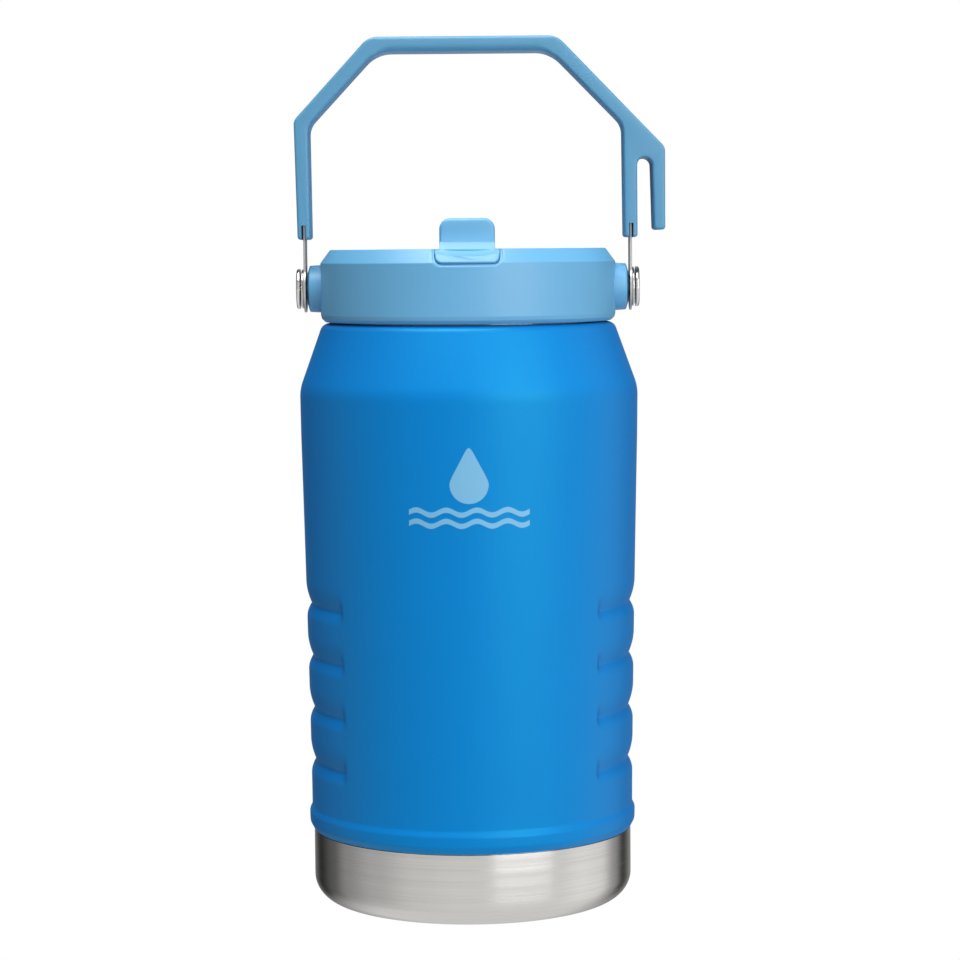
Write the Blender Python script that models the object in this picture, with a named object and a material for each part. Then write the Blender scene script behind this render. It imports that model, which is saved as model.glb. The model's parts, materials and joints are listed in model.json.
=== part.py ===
"""Large insulated water jug: vacuum body, screw lid with a flip-up spout, and a bail handle with a hook.

Metres, +Z up, -Y is the front, +X is the side with the hook.
The origin is the centre of the foot, on the jug's axis.
"""

import math

import bmesh
import bpy
from mathutils import Matrix, Vector

STEPS = 36
SIDES = {1: "_right", -1: "_left"}

# Driving sizes of the body
BODY_R = 0.0635
SHOULDER_Z = 0.190
WAIST_R = 0.0606
WAIST_Z = 0.038
SWELL = 1.45
SHELL_WALL = 0.0010
LIP_R = 0.0469
LIP_Z = 0.2176
CONE_TOP = (0.0554, 0.2153)
CONE_FOOT = (0.0623, 0.1966)
BEAD_R = 0.0614
SHELL_EDGE_Z = 0.0275

# Base cup, inner vessel and what seals the vacuum space
CUP_R = 0.0600
CUP_CORNER = 0.0095
CUP_RIM_Z = 0.0335
CUP_STEP_Z = 0.0265
CUP_RECESS = 0.0022
VESSEL_WALL = 0.0008
VESSEL_R = 0.0588
VESSEL_FOOT_Z = 0.0140
VESSEL_CORNER = 0.0125
DISC_R = 0.0434
DISC_THICK = 0.0014
PORT_R = 0.0036
GETTER_R = 0.0056
GETTER_X = 0.0240

# Grip grooves, pressed into the flanks only
GROOVE_TOP_Z = 0.1126
GROOVE_PITCH = 0.0198
GROOVE_COUNT = 4
GROOVE_DEPTH = 0.0018
GROOVE_HALF = 0.0055
GROOVE_FULL = math.radians(38)
GROOVE_END = math.radians(44)

# Neck, thread and lid
NECK_R = 0.0465
NECK_FOOT_Z = 0.2125
RIM_Z = 0.2360
THREAD_PITCH = 0.0080
NECK_THREAD_Z = 0.2238
NECK_CREST_R = 0.0480
LID_THREAD_Z = 0.2198
LID_CREST_R = 0.0471
THREAD_ROOT = 0.0024
THREAD_CREST = 0.0012
LID_R = 0.0552
LID_TOP_Z = 0.2450
LID_TOP_R = 0.0515
LID_CHAMFER_Z = 0.2400
LID_FOOT_Z = 0.2181
SKIRT_R = 0.0529
PLATE_Z = 0.2420
LINER_R = 0.0515
LINER_BORE_R = 0.0486
LINER_TOP_Z = 0.2417
LINER_DISC_Z = 0.2393
LINER_FOOT_Z = 0.2183

# Straw and its socket, lid seal, vent valve
STRAW_R = 0.0040
STRAW_BORE_R = 0.0031
STRAW_Z = (0.0200, 0.2260)
SOCKET_R = 0.0053
SOCKET_FLANGE_R = 0.0075
SOCKET_Z = (0.2160, 0.2300)
GASKET_R = (0.0447, 0.0467)
GASKET_Z = (0.2363, 0.2390)
VENT_Y = 0.0280
VENT_STEM_R = 0.0022
VENT_CAP_R = 0.0048
VENT_FLAP_R = 0.0056
VENT_Z = (0.2370, 0.2415)
VENT_SEAT_Z = 0.2406

# Spout and the trough that it folds into
SPOUT_AXIS_Z = 0.2370
CHANNEL_HALF = 0.0127
CHANNEL_BACK_Y = 0.0095
CHANNEL_FRONT_Y = -0.0380
CHANNEL_FLOOR_Z = 0.2285
TROUGH_WALL = 0.0020
TROUGH_FLOOR = 0.0025
NOTCH_Z = 0.2390
NOTCH_CORNER = 0.0020
LIP_FOOT_Z = 0.2394
SPOUT_HALF = 0.0122
SPOUT_TOP_Z = 0.2448
SPOUT_BORE_R = 0.0048
BARREL_R = 0.0065
TAB_HALF = 0.0100
TAB_TOP_Z = 0.2560
TAB_Y = (-0.0463, -0.0432)
TAB_ROUND = 0.0040
STUB_R = 0.0015
STUB_X = (0.0074, 0.0146)
LEDGE_Y = -0.0600
LEDGE_R = 0.0113
LEDGE_CENTRE = (-0.0560, SPOUT_TOP_Z + 0.0084)
LEDGE_START = -48
UNDERCUT_R = 0.0519
BAR_FOOT_Z = 0.2315
DUCT_R = 0.0030
MOUTHPIECE_R = 0.0045
GAP = 0.0003

# Handle and its pivots
PIVOT_Z = 0.2305
BOSS_R = 0.0086
BOSS_X = (0.0535, 0.0601)
INSERT_R = 0.0030
INSERT_X = (0.0556, 0.0598)
SCREW_R = 0.0015
SCREW_BORE_R = 0.0018
HEAD_R = 0.0075
HEAD_X = (0.0623, 0.0642)
WASHER_X = (0.0614, 0.0620)
STRAP_X = (0.0604, 0.0611)
STRAP_HALF = 0.0060
STRAP_TOP_Z = 0.2762
EYE_R = 0.0088
BUSH_R = 0.0040
ARM_X = (0.0584, 0.0636)
ARM_FOOT_Z = 0.2488
ARM_END_ROUND = 0.0012
ELBOW_Z = 0.2928
BAND = 0.0052
BAND_HALF = 0.0100
GRIP_Z = 0.3234
GRIP_HALF = 0.0350
HOOK_X = (0.0687, 0.0732)
HOOK_FOOT_Z = 0.2521
HOOK_SLOT_X = 0.0632
HOOK_SLOT_Z = 0.2782
RIVET_Z = 0.2660
RIVET_R = 0.0015
RIVET_HEAD_R = 0.0026
RIVET_X = (0.0587, 0.0633)
RIVET_GRIP_X = (0.0592, 0.0627)

FINISHES = {
    "powder_blue": ((0, 122, 214), 0.42, 0.0),
    "lid_blue": ((122, 186, 224), 0.45, 0.0),
    "brushed_steel": ((205, 203, 200), 0.32, 1.0),
    "polished_steel": ((215, 214, 212), 0.15, 1.0),
    "liner_plastic": ((235, 236, 236), 0.45, 0.0),
    "silicone": ((214, 218, 220), 0.60, 0.0),
    "clear_plastic": ((200, 222, 234), 0.20, 0.0),
    "brass": ((196, 160, 90), 0.30, 1.0),
    "bearing_plastic": ((60, 62, 66), 0.50, 0.0),
    "getter_metal": ((150, 150, 150), 0.40, 1.0),
}


def linear(byte):
    """Linear light value of an sRGB byte."""
    share = byte / 255
    return share / 12.92 if share <= 0.04045 else ((share + 0.055) / 1.055) ** 2.4


def paint(thing, finish):
    """Give the object its own Principled material in one of the finishes."""
    colour, roughness, metallic = FINISHES[finish]
    material = bpy.data.materials.new(thing.name + "_" + finish)
    material.use_nodes = True
    shader = material.node_tree.nodes["Principled BSDF"]
    shader.inputs["Base Color"].default_value = (*map(linear, colour), 1)
    shader.inputs["Roughness"].default_value = roughness
    shader.inputs["Metallic"].default_value = metallic
    material.diffuse_color = (*map(linear, colour), 1)
    thing.data.materials.append(material)


def finished(name, bm, finish=None):
    """Object from a closed mesh, shaded smooth with sharp edges; without a finish it is a cutter."""
    bmesh.ops.recalc_face_normals(bm, faces=bm.faces[:])
    mesh = bpy.data.meshes.new(name)
    bm.to_mesh(mesh)
    bm.free()
    mesh.shade_smooth()
    mesh.set_sharp_from_angle(angle=math.radians(32))
    thing = bpy.data.objects.new(name, mesh)
    bpy.context.scene.collection.objects.link(thing)
    if finish:
        paint(thing, finish)
    else:
        thing.hide_render = True
        thing.display_type = "WIRE"
    return thing


def join_rings(bm, rings, closed):
    """Faces between neighbouring rings, and back to the first if closed; a single vertex is a pole."""
    for here, there in zip(rings, rings[1:] + (rings[:1] if closed else [])):
        steps = max(len(here), len(there))
        for i in range(steps if steps > 1 else 0):
            j = (i + 1) % steps
            corners = (
                here[i % len(here)],
                here[j % len(here)],
                there[j % len(there)],
                there[i % len(there)],
            )
            face = list(dict.fromkeys(corners))
            if len(face) > 2:
                bm.faces.new(face)


def revolve(name, profile, finish=None, side=0, centre=(0, 0, 0), steps=STEPS):
    """Solid of revolution from a closed loop of (radius, height).

    It turns about the vertical, or about X with its height pointing to side +1 or -1.
    """
    bm = bmesh.new()
    rings = []
    for radius, height in profile:
        count = steps if radius else 1
        turns = [math.tau * i / steps for i in range(count)]
        rings.append(
            [bm.verts.new((radius * math.cos(t), radius * math.sin(t), height)) for t in turns]
        )
    join_rings(bm, rings, True)
    turn = Matrix.Rotation(side * math.pi / 2, 4, "Y")
    bmesh.ops.transform(bm, matrix=Matrix.Translation(centre) @ turn, verts=bm.verts[:])
    return finished(name, bm, finish)


def prism(name, outline, low, high, across, finish=None, rounding=0.0):
    """Extrude a closed outline along "X" (outline in Y, Z) or along "Y" (outline in X, Z)."""

    def place(u, v, w):
        return (w, u, v) if across == "X" else (u, w, v)

    bm = bmesh.new()
    first = [bm.verts.new(place(u, v, low)) for u, v in outline]
    last = [bm.verts.new(place(u, v, high)) for u, v in outline]
    caps = [bm.faces.new(first), bm.faces.new(last)]
    for i in range(len(outline)):
        j = (i + 1) % len(outline)
        bm.faces.new((first[i], first[j], last[j], last[i]))
    if rounding:
        rim = list({edge for cap in caps for edge in cap.edges})
        bmesh.ops.bevel(bm, geom=rim, offset=rounding, segments=1, profile=0.5, affect="EDGES")
    return finished(name, bm, finish)


def box(name, x, y, z, finish=None):
    """Plain block between two corners."""
    outline = [(x[0], z[0]), (x[1], z[0]), (x[1], z[1]), (x[0], z[1])]
    return prism(name, outline, y[0], y[1], "Y", finish)


def disc(radius, low, high, bore=0.0):
    """Closed (radius, height) loop of a plain disc, or of a ring if it has a bore."""
    return [(bore, low), (radius, low), (radius, high), (bore, high)]


def combine(target, operation, tools):
    """Stack one Boolean for each tool on the target; the tools themselves are only guides."""
    for tool in tools:
        tool.hide_render = True
        tool.display_type = "WIRE"
        step = target.modifiers.new(tool.name, "BOOLEAN")
        step.operation = operation
        step.solver = "EXACT"
        step.object = tool


def arc(centre, radius, start, end, steps):
    """Points on an arc, angles in degrees, both ends included."""
    angles = [math.radians(start + (end - start) * i / steps) for i in range(steps + 1)]
    return [(centre[0] + radius * math.cos(a), centre[1] + radius * math.sin(a)) for a in angles]


def rounded(corners, steps=4):
    """Outline through corners (u, v, radius), each turned by an arc of its own radius."""
    points = []
    for i, (u, v, radius) in enumerate(corners):
        if not radius:
            points.append((u, v))
            continue
        here = Vector((u, v))
        back = (Vector(corners[i - 1][:2]) - here).normalized()
        ahead = (Vector(corners[(i + 1) % len(corners)][:2]) - here).normalized()
        half = back.angle(ahead) / 2
        centre = here + (back + ahead).normalized() * radius / math.sin(half)
        start = (here + back * radius / math.tan(half) - centre).normalized()
        end = (here + ahead * radius / math.tan(half) - centre).normalized()
        points += [tuple(centre + start.slerp(end, k / steps) * radius) for k in range(steps + 1)]
    return points


def inset(points, distance):
    """The same run of (radius, height) points, moved inwards by a wall thickness."""
    moved = []
    for i, point in enumerate(points):
        here = Vector(point)
        runs = []
        if i:
            runs.append((here - Vector(points[i - 1])).normalized())
        if i + 1 < len(points):
            runs.append((Vector(points[i + 1]) - here).normalized())
        normals = [Vector((run.y, -run.x)) for run in runs]
        middle = sum(normals, Vector((0, 0))).normalized()
        moved.append(tuple(here + middle * distance / middle.dot(normals[0])))
    return moved


def axis_empty(name, place):
    """Empty on a joint's axis, which the moving pieces hang from."""
    empty = bpy.data.objects.new(name, None)
    empty.empty_display_size = 0.01
    empty.location = place
    bpy.context.scene.collection.objects.link(empty)
    return empty


def hang(empty, pieces):
    """Parent the pieces to the empty, with their origins on its axis and their shapes in place."""
    for piece in pieces:
        piece.data.transform(Matrix.Translation(-empty.location))
        piece.parent = empty


# Body


def shell_radius(z):
    """Outer radius of the straight part, which swells gently from the waist to the shoulder."""
    share = max(0.0, (z - WAIST_Z) / (SHOULDER_Z - WAIST_Z))
    return WAIST_R + (BODY_R - WAIST_R) * share**SWELL


def groove_heights():
    return [GROOVE_TOP_Z - i * GROOVE_PITCH for i in range(GROOVE_COUNT)]


def groove_share(angle):
    """How deep the grooves are at an angle round the axis: whole on the flanks, none in front."""
    off_side = math.acos(min(1.0, abs(math.cos(angle))))
    return min(1.0, max(0.0, (GROOVE_END - off_side) / (GROOVE_END - GROOVE_FULL)))


def shell_profile():
    """Outer run of the shell from its turned-in lip down to its lower edge."""
    lip = [(LIP_R, LIP_Z), (CONE_TOP[0] - 0.0024, LIP_Z), (CONE_TOP[0] - 0.0010, LIP_Z - 0.0007)]
    shoulder = [CONE_TOP, CONE_FOOT, (BODY_R - 0.0006, 0.1942), (BODY_R - 0.0001, 0.1915)]
    heights = [SHOULDER_Z, 0.165, 0.140, 0.1228]
    for height in groove_heights():
        heights += [height + GROOVE_HALF, height, height - GROOVE_HALF]
    flank = [(shell_radius(z), z) for z in heights + [WAIST_Z]]
    bead = [(0.0607, 0.0362), (BEAD_R - 0.0001, 0.0335), (BEAD_R, 0.0310), (BEAD_R - 0.0003, 0.0285)]
    return lip + shoulder + flank + bead + [(BEAD_R - 0.0010, SHELL_EDGE_Z)]


def make_outer_shell():
    outer = shell_profile()
    grooved = [min(abs(z - g) for g in groove_heights()) < GROOVE_HALF / 2 for r, z in outer]
    inner = inset(outer, SHELL_WALL)
    bm = bmesh.new()
    rings = []
    for run, cuts in ((outer, grooved), (inner[::-1], grooved[::-1])):
        for (radius, height), cut in zip(run, cuts):
            ring = []
            for i in range(STEPS):
                angle = math.tau * i / STEPS
                at = radius - (GROOVE_DEPTH * groove_share(angle) if cut else 0.0)
                ring.append(bm.verts.new((at * math.cos(angle), at * math.sin(angle), height)))
            rings.append(ring)
    join_rings(bm, rings, True)
    return finished("outer_shell", bm, "powder_blue")


def make_base():
    """Bottom cup, tucked under the shell's bead, with a recess and the vacuum port in its floor."""
    rim_r = CUP_R - 0.0009
    outer = [(rim_r, CUP_RIM_Z), (rim_r, CUP_STEP_Z), (CUP_R, CUP_STEP_Z - 0.0005)]
    outer += arc((CUP_R - CUP_CORNER, CUP_CORNER), CUP_CORNER, 0, -90, 5)
    outer += [(DISC_R + 0.0021, 0), (DISC_R + GAP, CUP_RECESS), (PORT_R + 0.0008, CUP_RECESS)]
    outer += [(PORT_R, CUP_RECESS + 0.0020), (0.0010, CUP_RECESS + 0.0020)]
    revolve("base_cup", outer + inset(outer, VESSEL_WALL)[::-1], "brushed_steel")


def make_base_disc():
    edge = 0.0004
    profile = [(0, 0), (DISC_R - edge, 0), (DISC_R, edge), (DISC_R - edge, DISC_THICK), (0, DISC_THICK)]
    revolve("base_disc", profile, "brushed_steel")


def make_port_bead():
    low = CUP_RECESS - 0.0002
    profile = [(0, low), (0.0030, low), (0.0030, low + 0.0016), (0, low + 0.0018)]
    revolve("port_bead", profile, "getter_metal", steps=16)


def make_getter():
    low = 0.0062
    top = 0.0098
    edge = 0.0006
    profile = [(0, low), (GETTER_R - edge, low), (GETTER_R, low + 0.0010), (GETTER_R, top), (0, top)]
    revolve("getter", profile, "getter_metal", centre=(GETTER_X, 0, 0), steps=16)


def helix_ridge(name, root_r, crest_r, start_z):
    """One turn of a trapezoid thread ridge, climbing anticlockwise seen from above."""
    section = [
        (root_r, -THREAD_ROOT / 2),
        (crest_r, -THREAD_CREST / 2),
        (crest_r, THREAD_CREST / 2),
        (root_r, THREAD_ROOT / 2),
    ]
    bm = bmesh.new()
    rings = []
    for i in range(STEPS):
        angle = math.tau * i / STEPS
        rise = start_z + THREAD_PITCH * i / STEPS
        rings.append(
            [bm.verts.new((r * math.cos(angle), r * math.sin(angle), rise + z)) for r, z in section]
        )
    join_rings(bm, rings, False)
    bm.faces.new(rings[0])
    bm.faces.new(rings[-1])
    return finished(name, bm)


def make_inner_vessel():
    """Inner bottle: rim, threaded neck, bowl shoulder, wall and rounded floor."""
    neck = [(NECK_R, RIM_Z), (NECK_R, NECK_FOOT_Z), (NECK_R + 0.0009, NECK_FOOT_Z - 0.0019)]
    shoulder = [(0.0508, 0.2082), (0.0576, 0.1915), (0.0585, 0.1875), (VESSEL_R, 0.1830)]
    corner = (VESSEL_R - 0.0021 - VESSEL_CORNER, VESSEL_FOOT_Z + VESSEL_CORNER)
    floor = arc(corner, VESSEL_CORNER, 0, -90, 4) + [(0, VESSEL_FOOT_Z)]
    outer = neck + shoulder + floor
    vessel = revolve("inner_vessel", outer + inset(outer, VESSEL_WALL)[::-1], "brushed_steel")
    ridge = helix_ridge("neck_thread", NECK_R - 0.0004, NECK_CREST_R, NECK_THREAD_Z)
    combine(vessel, "UNION", [ridge])


# Lid


def boss(side):
    """Round boss that carries a handle pivot, with the blind hole for its insert."""
    hole_r = INSERT_R + GAP
    profile = [(BOSS_R + 0.0002, BOSS_X[0]), (BOSS_R, BOSS_X[1] - 0.0009), (0.0054, BOSS_X[1])]
    profile += [(hole_r, BOSS_X[1]), (hole_r, BOSS_X[0])]
    return revolve("boss" + SIDES[side], profile, None, side, (0, 0, PIVOT_Z), 32)


def make_lid_shell():
    """Lid cover with its bosses, cut away for the spout at the top and in front."""
    outside = [(0, LID_TOP_Z), (LID_TOP_R - 0.0008, LID_TOP_Z), (LID_TOP_R, LID_TOP_Z - 0.0003)]
    skirt = [(LID_R - 0.0002, LID_CHAMFER_Z + 0.0006), (LID_R, LID_CHAMFER_Z)]
    skirt += [(LID_R, LID_FOOT_Z + 0.0017), (SKIRT_R + 0.0007, LID_FOOT_Z)]
    inside = [(SKIRT_R, LID_FOOT_Z), (SKIRT_R, PLATE_Z), (0, PLATE_Z)]
    lid = revolve("lid_shell", outside + skirt + inside, "lid_blue")
    combine(lid, "UNION", [boss(side) for side in SIDES])
    above = LID_TOP_Z + 0.015
    opening = rounded(
        [
            (-CHANNEL_HALF, above, 0),
            (-CHANNEL_HALF, NOTCH_Z, NOTCH_CORNER),
            (CHANNEL_HALF, NOTCH_Z, NOTCH_CORNER),
            (CHANNEL_HALF, above, 0),
        ]
    )
    combine(lid, "DIFFERENCE", [prism("cut_opening", opening, LEDGE_Y, CHANNEL_BACK_Y, "Y")])


def stub(name, radius, inner_x, outer_x, side, finish=None):
    """Round bar along the spout's axis on one side."""
    return revolve(name, disc(radius, inner_x, outer_x), finish, side, (0, 0, SPOUT_AXIS_Z), 16)


def make_lid_liner():
    """Inner lid part: thread ring, disc over the neck, and the trough for the spout."""
    profile = [(0, LINER_TOP_Z), (LINER_R, LINER_TOP_Z), (LINER_R, LINER_FOOT_Z)]
    profile += [(LINER_BORE_R, LINER_FOOT_Z), (LINER_BORE_R, LINER_DISC_Z), (0, LINER_DISC_Z)]
    liner = revolve("lid_liner", profile, "liner_plastic")
    wide = CHANNEL_HALF + TROUGH_WALL
    long = (CHANNEL_FRONT_Y - TROUGH_WALL, CHANNEL_BACK_Y + TROUGH_WALL)
    deep = (CHANNEL_FLOOR_Z - TROUGH_FLOOR, LINER_TOP_Z - 0.0004)
    trough = box("trough", (-wide, wide), long, deep)
    ridge = helix_ridge("lid_thread", LINER_BORE_R + 0.0004, LID_CREST_R, LID_THREAD_Z)
    combine(liner, "UNION", [trough, ridge])
    above = LID_TOP_Z + 0.005
    across = (-CHANNEL_HALF, CHANNEL_HALF)
    along = (CHANNEL_FRONT_Y, CHANNEL_BACK_Y)
    channel = box("cut_channel", across, along, (CHANNEL_FLOOR_Z, above))
    straw_hole = revolve("cut_straw", disc(SOCKET_R + GAP, 0.220, 0.233), steps=24)
    vent = disc(VENT_CAP_R + 0.0004, VENT_SEAT_Z, above)[:3]
    vent = [(0, 0.235), (VENT_STEM_R + GAP, 0.235), (VENT_STEM_R + GAP, VENT_SEAT_Z)] + vent[1:]
    vent_hole = revolve("cut_vent", vent + [(0, above)], centre=(0, VENT_Y, 0), steps=24)
    pins = [stub("cut_stub" + SIDES[side], STUB_R + GAP, 0.010, 0.016, side) for side in SIDES]
    combine(liner, "DIFFERENCE", [channel, straw_hole, vent_hole] + pins)


def make_lid_gasket():
    """Octagonal section ring between the liner's disc and the neck's rim."""
    inner, outer = GASKET_R
    low, high = GASKET_Z
    edge = 0.0005
    profile = [(inner + edge, high), (outer - edge, high), (outer, high - edge), (outer, low + edge)]
    profile += [(outer - edge, low), (inner + edge, low), (inner, low + edge), (inner, high - edge)]
    revolve("lid_gasket", profile, "silicone")


def make_straw():
    foot, top = STRAW_Z
    profile = [(STRAW_R, top), (STRAW_R, foot + 0.0020), (STRAW_BORE_R, foot), (STRAW_BORE_R, top)]
    revolve("straw", profile, "clear_plastic", steps=24)


def make_straw_socket():
    """Sleeve round the straw's top, with a flange that seals under the spout's barrel."""
    foot, top = SOCKET_Z
    flange_z = top - 0.0012
    profile = [(SOCKET_FLANGE_R, top), (SOCKET_FLANGE_R, flange_z), (SOCKET_R, flange_z)]
    profile += [(SOCKET_R, foot), (STRAW_R + GAP, foot), (STRAW_R + GAP, STRAW_Z[1] + GAP)]
    profile += [(DUCT_R, STRAW_Z[1] + 0.0008), (DUCT_R, top)]
    revolve("straw_socket", profile, "silicone", steps=24)


def make_vent_valve():
    """Mushroom valve: a cap above the liner, a stem through it, and a flap that seals below."""
    foot, top = VENT_Z
    cap_z = VENT_SEAT_Z + GAP
    flap_z = LINER_DISC_Z - GAP
    profile = [(0, top), (VENT_CAP_R, top - 0.0002), (VENT_CAP_R, cap_z), (VENT_STEM_R, cap_z)]
    profile += [(VENT_STEM_R, flap_z), (VENT_FLAP_R, flap_z - 0.0002), (VENT_FLAP_R, flap_z - 0.0010)]
    profile += [(0.0020, foot), (0, foot)]
    revolve("vent_valve", profile, "silicone", centre=(0, VENT_Y, 0), steps=24)


# Spout


def spout_outline():
    """Side outline in Y, Z: bar, scooped ledge with its lip, and barrel round the hinge axis."""
    lip_back = 0.0082 + LEDGE_Y
    outline = [(-0.0020, SPOUT_TOP_Z)] + arc(LEDGE_CENTRE, LEDGE_R, LEDGE_START, -95, 5)
    outline += [(LEDGE_Y, SPOUT_TOP_Z - 0.0030), (LEDGE_Y, LIP_FOOT_Z), (lip_back, LIP_FOOT_Z)]
    outline += [(lip_back, LIP_FOOT_Z + 0.0030), (-0.0340, LIP_FOOT_Z + 0.0030)]
    outline += [(-0.0340, BAR_FOOT_Z + 0.0007), (-0.0330, BAR_FOOT_Z), (-0.0060, BAR_FOOT_Z)]
    return outline + arc((0, SPOUT_AXIS_Z), BARREL_R, -105, 60, 9)


def make_spout():
    """Spout body: barrel, chunky bar, scooped ledge over the lid's front, and thumb tab."""
    spout = prism("spout", spout_outline(), -SPOUT_HALF, SPOUT_HALF, "X", "lid_blue")
    keep_r = LID_R - 0.0005
    low = 0.2280
    high = TAB_TOP_Z + 0.0060
    envelope = [(0, high), (0.0440, high), (0.0500, 0.2463), (keep_r, LID_CHAMFER_Z)]
    envelope += [(keep_r, low), (0, low)]
    combine(spout, "INTERSECT", [revolve("keep_inside_lid", envelope, steps=2 * STEPS)])
    tab = rounded(
        [
            (-TAB_HALF, SPOUT_TOP_Z - 0.0018, 0),
            (TAB_HALF, SPOUT_TOP_Z - 0.0018, 0),
            (TAB_HALF, TAB_TOP_Z, TAB_ROUND),
            (-TAB_HALF, TAB_TOP_Z, TAB_ROUND),
        ]
    )
    sunk = SPOUT_TOP_Z - 0.0018
    foot = [(TAB_Y[1] - 0.0003, sunk), (TAB_Y[1] - 0.0003, SPOUT_TOP_Z + 0.0016)]
    foot += arc(LEDGE_CENTRE, LEDGE_R, -37, LEDGE_START, 3) + [(-0.0482, sunk)]
    tab_foot = prism("tab_foot", foot, 0.0003 - TAB_HALF, TAB_HALF - 0.0003, "X")
    tab_plate = prism("tab", tab, TAB_Y[0], TAB_Y[1], "Y", rounding=0.0006)
    combine(spout, "UNION", [tab_plate, tab_foot])
    undercut = disc(UNDERCUT_R, 0.236, LIP_FOOT_Z + 0.0030)
    under_ledge = revolve("cut_under_ledge", undercut, steps=2 * STEPS)
    spare_bar = box("spare_bar", (-0.03, 0.03), (-0.034, 0.06), (0.230, 0.244))
    combine(under_ledge, "DIFFERENCE", [spare_bar])
    cutters = [under_ledge, bar_along_y("cut_bore", SPOUT_BORE_R, -0.0360, -0.0120)]
    cutters += [bar_along_y("cut_duct", DUCT_R, -0.0125, 0.0100)]
    cutters += [stub("cut_pin" + SIDES[side], STUB_R + GAP, 0.0070, 0.0140, side) for side in SIDES]
    combine(spout, "DIFFERENCE", cutters + [lip_corner(side) for side in SIDES])
    return spout


def lip_corner(side):
    """Cutter that rounds one lower corner of the ledge's lip like the notch around it."""
    centre = (side * (SPOUT_HALF - NOTCH_CORNER), LIP_FOOT_Z + NOTCH_CORNER)
    start = 270 if side > 0 else 180
    outline = arc(centre, NOTCH_CORNER, start, start + 90, 4)
    past = side * (SPOUT_HALF + 0.001)
    below = LIP_FOOT_Z - 0.001
    outside = [(past, centre[1]), (past, below), (centre[0], below)]
    outline += outside if side > 0 else outside[::-1]
    return prism("cut_lip" + SIDES[side], outline, LEDGE_Y, LEDGE_Y + 0.010, "Y")


def bar_along_y(name, radius, front_y, back_y, finish=None, bore=0.0):
    """Round bar, or a tube if it has a bore, on the spout's middle line."""
    bm = bmesh.new()
    steps = 24
    sections = [(radius, front_y), (radius, back_y)]
    if bore:
        sections += [(bore, back_y), (bore, front_y)]
    rings = []
    for r, y in sections:
        turns = [math.tau * i / steps for i in range(steps)]
        rings.append(
            [bm.verts.new((r * math.cos(t), y, SPOUT_AXIS_Z + r * math.sin(t))) for t in turns]
        )
    join_rings(bm, rings, bool(bore))
    if not bore:
        bm.faces.new(rings[0])
        bm.faces.new(rings[-1])
    return finished(name, bm, finish)


# Handle and pivots


def handle_outline():
    """Bail outline in X, Z: arms, sloping sides, grip, and the open hook on the right arm."""
    slope = math.atan2(GRIP_Z - ELBOW_Z, ARM_X[1] - GRIP_HALF)
    grip_in = GRIP_HALF - BAND * math.tan(slope / 2)
    elbow_in = ELBOW_Z - BAND * math.tan((math.pi / 2 - slope) / 2)
    hook_top = ELBOW_Z - (HOOK_X[1] - ARM_X[1]) * math.tan(slope)
    slot_r = (HOOK_X[0] - HOOK_SLOT_X) / 2
    slot_centre = (HOOK_SLOT_X + slot_r, HOOK_SLOT_Z - slot_r)
    left_outside = [
        (-ARM_X[0], ARM_FOOT_Z, ARM_END_ROUND),
        (-ARM_X[1], ARM_FOOT_Z, ARM_END_ROUND),
        (-ARM_X[1], ELBOW_Z, 0.0040),
        (-GRIP_HALF, GRIP_Z, 0.0080),
    ]
    right_outside = [
        (GRIP_HALF, GRIP_Z, 0.0080),
        (HOOK_X[1], hook_top, 0.0040),
        (HOOK_X[1], HOOK_FOOT_Z, ARM_END_ROUND),
        (HOOK_X[0], HOOK_FOOT_Z, ARM_END_ROUND),
    ]
    slot = [(u, v, 0) for u, v in arc(slot_centre, slot_r, 0, 180, 8)]
    right_foot = [(HOOK_SLOT_X, ARM_FOOT_Z, ARM_END_ROUND), (ARM_X[0], ARM_FOOT_Z, ARM_END_ROUND)]
    inside = [
        (ARM_X[0], elbow_in, 0.0075),
        (grip_in, GRIP_Z - BAND, 0.0125),
        (-grip_in, GRIP_Z - BAND, 0.0125),
        (-ARM_X[0], elbow_in, 0.0075),
    ]
    return rounded(left_outside + right_outside + slot + right_foot + inside)


def strap_slot(side):
    """Cutters for the strap's slot in an arm: open to front and back at the foot, then a pocket."""
    x = sorted((side * (STRAP_X[0] - 0.00035), side * (STRAP_X[1] + 0.00035)))
    mouth_y = BAND_HALF + 0.0020
    pocket_y = STRAP_HALF + 0.0004
    mouth = box("cut_mouth" + SIDES[side], x, (-mouth_y, mouth_y), (0.2400, 0.2541))
    pocket = box("cut_pocket" + SIDES[side], x, (-pocket_y, pocket_y), (0.2500, STRAP_TOP_Z + GAP))
    return [mouth, pocket]


def make_handle():
    handle = prism("handle", handle_outline(), -BAND_HALF, BAND_HALF, "Y", "lid_blue", 0.0010)
    wide = RIVET_HEAD_R + GAP
    narrow = RIVET_R + GAP
    profile = disc(wide, 0.0570, RIVET_GRIP_X[0] + GAP)[:3]
    profile += disc(narrow, RIVET_GRIP_X[0] + GAP, RIVET_GRIP_X[1] - GAP)[1:3]
    profile += disc(wide, RIVET_GRIP_X[1] - GAP, 0.0642)[1:]
    cutters = []
    for side in SIDES:
        hole = revolve("cut_rivet" + SIDES[side], profile, None, side, (0, 0, RIVET_Z), 16)
        cutters += strap_slot(side) + [hole]
    combine(handle, "DIFFERENCE", cutters)
    return handle


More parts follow.
